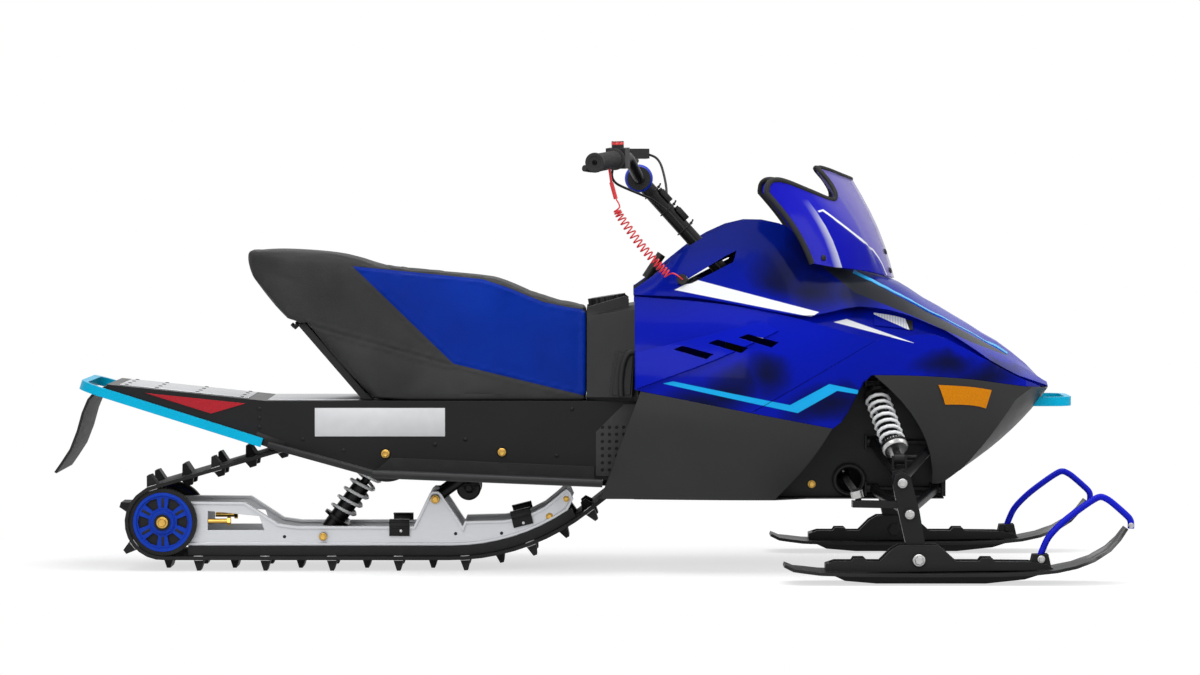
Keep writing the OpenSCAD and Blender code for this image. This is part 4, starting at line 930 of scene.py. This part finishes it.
for x, z in ((462, 620), (592, 629), (601, 592)):
    hit, out, *_ = shield_face.ray_cast(Vector((x / 1000, -1, z / 1000)), left)
    screws.append(lathe(hit * 1000, out, [(0, 6), (1.2, 6), (3, 4.6), (3.6, 2.2), (2.4, 2)], 18))
carry(solid("windshield_screws", pair(screws), trim_rubber))


# Knee guards. Moulded black plates, screwed on behind the side panels.
# A round rubber strip is pushed on the edge that meets the rider's knee.
def prism(outline, y0, y1):
    """Plate of constant thickness: outline rows (x, z), between two distances y, in millimetres."""
    n = len(outline)
    verts = [Vector((x, y, z)) / 1000 for y in (y0, y1) for x, z in outline]
    faces = [(i, (i + 1) % n, n + (i + 1) % n, n + i) for i in range(n)]
    return verts, faces + [tuple(range(n)), tuple(range(2 * n - 1, n - 1, -1))]


guard = [prism([(92, 437), (62, 439), (55, 435), (50, 415), (44, 365), (43, 347), (88, 347)], -200, -172),
         prism([(90, 430), (66, 432), (60, 426), (50, 365), (49, 352), (84, 352)], -203, -199)]
carry(solid("knee_guards", pair(guard), moulded_black, 30))
edge_rows = [(94, 438), (82, 434), (73, 420), (68, 398), (66, 372), (67, 350)]
edging = smooth_line([(x, -206, z) for x, z in edge_rows], 40)
carry(solid("knee_guard_edges", pair([tube(edging, 0.006, 12)]), trim_rubber, 80))


# Lower panels, nose and amber reflectors. Charcoal plastic, moulded in its colour with a satin grain,
# and clipped to the hood's lower edge. The reflectors are prism plates glued into the nose.
@paint
def charcoal_moulding():
    fine = speckle(900, 2)
    return shade(tint(speckle(9, 4), (0.011, 0.011, 0.012), (0.018, 0.018, 0.019)), 0.36 + 0.14 * speckle(35, 3),
                 relief(fine, 0.0003, 0.3, 0.002), specular=0.3)


@paint
def reflector_amber():
    prism = Wire.node("TexVoronoi", None, {"Vector": place(), "Scale": 320.0})
    return shade(tint(prism, (0.58, 0.18, 0.001), (0.68, 0.24, 0.003)), 0.18 + 0.1 * speckle(90),
                 relief(prism, 0.0004, 0.2), specular=0.08, coat=0.05)


skin("lower_panels", charcoal_moulding, 22)
skin("nose", charcoal_moulding, 28)
skin("amber_reflectors", reflector_amber)


# Front suspension. Welded tube arms and forged spindles, powder coated black.
# Bolts, spring collars and tie rods are zinc plated, and rubber boots close the rods' holes.
coat(black_powder, "control_arms", "spindle_right", "spindle_left")
coat(zinc, "tie_rod_right", "tie_rod_left")


def outer_y(node, x, z):
    """How far out a node's right-hand surface lies at a point of the side view, in millimetres."""
    return -1000 * surface(node).ray_cast(Vector((x / 1000, -1, z / 1000)), left)[0].y


def hardware(name, piece, places):
    """Bright bolts on a moving piece's outer side, for right and left."""
    for side, y in (("right", -1), ("left", 1)):
        heads = []
        for x, z, r in places:
            heads += bolt((x, y * outer_y(piece + "_right", x, z), z), Vector((0, y, 0)), r)
        carry(solid(name + "_" + side, heads, zinc, 30), piece + "_" + side)


hardware("spindle_bolts", "spindle", [(604, 193, 6.8), (618, 133, 6.8)])
low, high = Vector((604, 313, 233)), Vector((558, 190, 372))
collars = [lathe(low.lerp(high, 0.12), high - low, [(0, 17), (0, 23), (2, 25), (7, 26.5), (8, 26), (8, 17)], 28),
           lathe(low.lerp(high, 0.185), high - low, [(0, 17), (0, 25), (1.5, 26), (3, 26), (4, 24), (4, 17)], 28)]
carry(solid("spring_collars", pair(collars), zinc, 30))
around = [k * math.pi / 20 for k in range(41)]
folds = [tube([Vector((515 + r * math.cos(a), y, 183 + r * math.sin(a))) / 1000 for a in around], 0.0034, 8)
         for y, r in ((151, 30), (155.5, 28.6), (160, 30), (164.5, 28.6))]
carry(solid("tie_rod_boots", pair(folds), trim_rubber, 80))
carry(solid("bay_bolts", pair(bolt((441.6, 150, 174), left, 6)), yellow_zinc, 30))


# Skis. Runners moulded in tough black plastic, worn pale at their tips, with a wear bar below.
# A bent blue loop is bolted to the front of each one as its handle.
@paint
def ski_plastic():
    scrape = speckle(40, 4, (0.15, 1, 1))
    x = axes()[0]
    worn = fade(x, 0.93, 0.98) * fade(1.035 - x, 0.0, 0.03) * fade(speckle(30, 4, (0.3, 1, 1)), 0.4, 0.62)
    black = tint(fade(scrape, 0.45, 0.75), (0.004, 0.004, 0.0045), (0.011, 0.011, 0.012))
    return shade(tint(worn, black, (0.22, 0.22, 0.22)), 0.36 + 0.22 * scrape,
                 relief(scrape, 0.0004, 0.35, 0.0018), specular=0.25)


@paint
def loop_blue():
    return shade(tint(speckle(25, 3), (0.001, 0.004, 0.46), (0.002, 0.01, 0.58)), 0.32 + 0.12 * speckle(90),
                 relief(speckle(700), 0.0002, 0.2), specular=0.15)


coat(ski_plastic, "ski_right", "ski_left")
ski_bolt_x = 635
loop_rows = [(233, 46), (239, 64), (252, 90), (279, 118), (314, 145), (338, 161), (350, 165.5), (361, 162),
             (374, 153), (400, 130), (407, 121), (408.4, 113), (408.2, 105)]
for side, y in (("right", -400), ("left", 400)):
    bow = smooth_line([(ski_bolt_x + x, y, z) for x, z in loop_rows], 96)
    loop = solid("handle_loop_" + side, [tube(bow, 0.0064, 16)], loop_blue, 80)
    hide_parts("ski_loop_" + side)
    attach(loop, "ski_" + side)
hardware("ski_bolts", "ski", [(ski_bolt_x, 46, 9), (870, 47, 5.5)])
for side, y in (("right", -1), ("left", 1)):
    tip = solid("loop_bolt_" + side, bolt((1043, y * 406, 111), Vector((0, y, 0)), 4), zinc, 30)
    carry(tip, "ski_" + side)


# Handlebar, pad and controls. Black tube with a foam pad over the clamp, ribbed rubber grips,
# moulded throttle and brake housings, and a red stop button on top. Ties hold the wiring to the post.
@paint
def pad_vinyl():
    return shade(tint(speckle(12, 3), (0.004, 0.022, 0.36), (0.008, 0.04, 0.5)), 0.4 + 0.15 * speckle(70),
                 relief(speckle(480, 3), 0.0005, 0.4), specular=0.35)


@paint
def grip_rubber():
    return shade(tint(speckle(50, 3), (0.008, 0.008, 0.0085), (0.018, 0.018, 0.018)), 0.55 + 0.2 * speckle(80),
                 relief(speckle(500, 3), 0.0004, 0.5), specular=0.35)


@paint
def button_red():
    return shade(tint(speckle(60), (0.6, 0.01, 0.01), (0.72, 0.02, 0.016)), 0.25 + 0.1 * speckle(90),
                 relief(speckle(700), 0.0002, 0.2), coat=0.3)


coat(black_powder, "handlebar")
coat(moulded_black, "throttle", "brake")
coat(lanyard_red, "tether_clip")
post_foot, post_head = Vector((318, 0, 535)), Vector((102, 0, 775))
pad_rows = [(-58, 14), (-58.5, 20), (-56, 25), (-50, 27.6), (-30, 28), (0, 27.4), (30, 28), (50, 27.6), (56, 25),
            (58.5, 20), (58, 14)]
pad = solid("bar_pad_cover", [lathe(post_head, left, pad_rows, 36)], pad_vinyl, 50)
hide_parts("bar_pad")
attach(pad, "steering")
foam_rows = [(-6, 22), (0.2, 23.4), (0.7, 22.8), (0.4, 9), (-6, 9)]
foam = lathe(post_head + 58 * left, left, foam_rows, 40)
carry(solid("bar_pad_foam", pair([foam]), trim_rubber), "steering")
bar_end, bar_tip = Vector((66, 190, 815)), Vector((16, 328, 806))
bar_dir = (bar_tip - bar_end).normalized()
grip_start = 34
grip_length = (bar_tip - bar_end).length - grip_start + 4
ribs = [(0, 12), (0, 20.5), (0.8, 21.5), (3.2, 21.5), (4, 20.5), (4.4, 16)]
for k in range(14):
    ribs += [(7 + 6.4 * k, 15.9), (8 + 6.4 * k, 16.9), (11 + 6.4 * k, 16.9), (12 + 6.4 * k, 15.9)]
ribs += [(grip_length - 5.2, 16.2), (grip_length - 5, 19), (grip_length - 4, 19.5), (grip_length - 1, 19.5),
         (grip_length, 18.4), (grip_length, 13), (grip_length - 1, 12), (grip_length - 1, 5.5), (grip_length - 4, 5)]
grip_set = solid("ribbed_grips", pair([lathe(bar_end + grip_start * bar_dir, bar_dir, ribs, 28)]), grip_rubber, 40)
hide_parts("grips")
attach(grip_set, "steering")
button_rows = [(0, 12.4), (4.4, 12.4), (5.8, 11.6), (6.5, 9), (6.7, 4)]
button = lathe((59.6, -207.5, 841.5), (-0.021, -0.0575, 0.998), button_rows, 28)
carry(solid("stop_button", [button], button_red), "steering")
post_dir = (post_head - post_foot).normalized()
rear = left.cross(post_dir)


def on_post(z, out=0):
    """Point on the post's axis at height z, or out millimetres in front of it."""
    return post_foot.lerp(post_head, (z - post_foot.z) / (post_head.z - post_foot.z)) + out * rear


ties = []
for z in (746, 712, 674, 636):
    at = on_post(z)
    hoop = [(at + 23.6 * math.cos(a) * left + 17 * math.sin(a) * rear) / 1000 for a in around]
    end = [(at + out * rear + along * post_dir) / 1000 for out, along in ((18, 0), (22, 1), (26, 3))]
    ties += [tube(hoop, 0.0014, 8), block(end[0], left, rear, post_dir, (3.2, 2.4, 2.8)), tube(end, 0.0018, 6)]
for z, out in ((729, 17.6), (693, 18)):
    at = on_post(z, out) - 5 * left
    ties += [block(at / 1000, left, rear, post_dir, (9, 5.5, 14)),
             block((at + 15 * post_dir) / 1000, left, rear, post_dir, (6.5, 3.8, 4))]
carry(solid("cable_ties", ties, trim_rubber, 40), "steering")


# Studio. A white sweep that keeps the machine's shadow, with a large soft box above it.
# One fill stands beside the camera and one in front of the nose.
def lamp(name, at, aim, size, watts):
    light = bpy.data.lights.new(name, "AREA")
    light.shape, light.size, light.size_y, light.energy = "RECTANGLE", size[0], size[1], watts
    made = bpy.data.objects.new(name, light)
    scene.collection.objects.link(made)
    made.location = at
    made.rotation_euler = (Vector(aim) - Vector(at)).to_track_quat("-Z", "Y").to_euler()


lamp("soft_box", (0.2, -0.8, 3.4), (0, 0, 0.3), (4.5, 3), 105)
lamp("side_fill", (-1.5, -5.5, 2.6), (0, 0, 0.4), (3, 2), 78)
lamp("front_fill", (4.5, -2, 2.2), (0.3, 0, 0.4), (2, 2), 38)


def seen():
    """1 for what the camera, a mirror or glass sees."""
    path = Wire.node("LightPath").socket.node
    direct, mirrored, through = (Wire(path.outputs[f"Is {ray} Ray"]) for ray in ("Camera", "Glossy", "Transmission"))
    return direct | mirrored | through


world = bpy.data.worlds.new("studio")
scene.world = world
world.use_nodes = True
Wire.tree = world.node_tree
Wire.tree.nodes.clear()
sky = Wire.node("Background", None, {"Color": (1, 1, 1, 1), "Strength": 0.38 + 0.62 * seen()})
Wire.tree.links.new(sky.socket, Wire.tree.nodes.new("ShaderNodeOutputWorld").inputs["Surface"])


@paint
def white_sweep():
    lit = Wire.node("BsdfDiffuse", None, {"Color": (0.45, 0.45, 0.46, 1)})
    glow = Wire.node("Emission", None, {"Strength": 0.66})
    reach = Wire.node("VectorMath", {"operation": "LENGTH"}, {0: place((1, 1.6, 1))}, out="Value")
    near = Wire.node("AddShader", None, {0: lit, 1: glow})
    far = Wire.node("Emission", None, {"Strength": 1.0})
    shown = Wire.node("MixShader", None, {0: fade(reach, 1.1, 1.7), 1: near, 2: far})
    plain = Wire.node("BsdfDiffuse", None, {"Color": (0.8, 0.8, 0.8, 1)})
    return Wire.node("MixShader", None, {0: seen(), 1: plain, 2: shown})


corners = [(x, y, -0.0006) for x, y in ((-30, -30), (30, -30), (30, 30), (-30, 30))]
floor = solid("floor", [(corners, [(0, 1, 2, 3)])], white_sweep)

scene.view_settings.view_transform = "Standard"
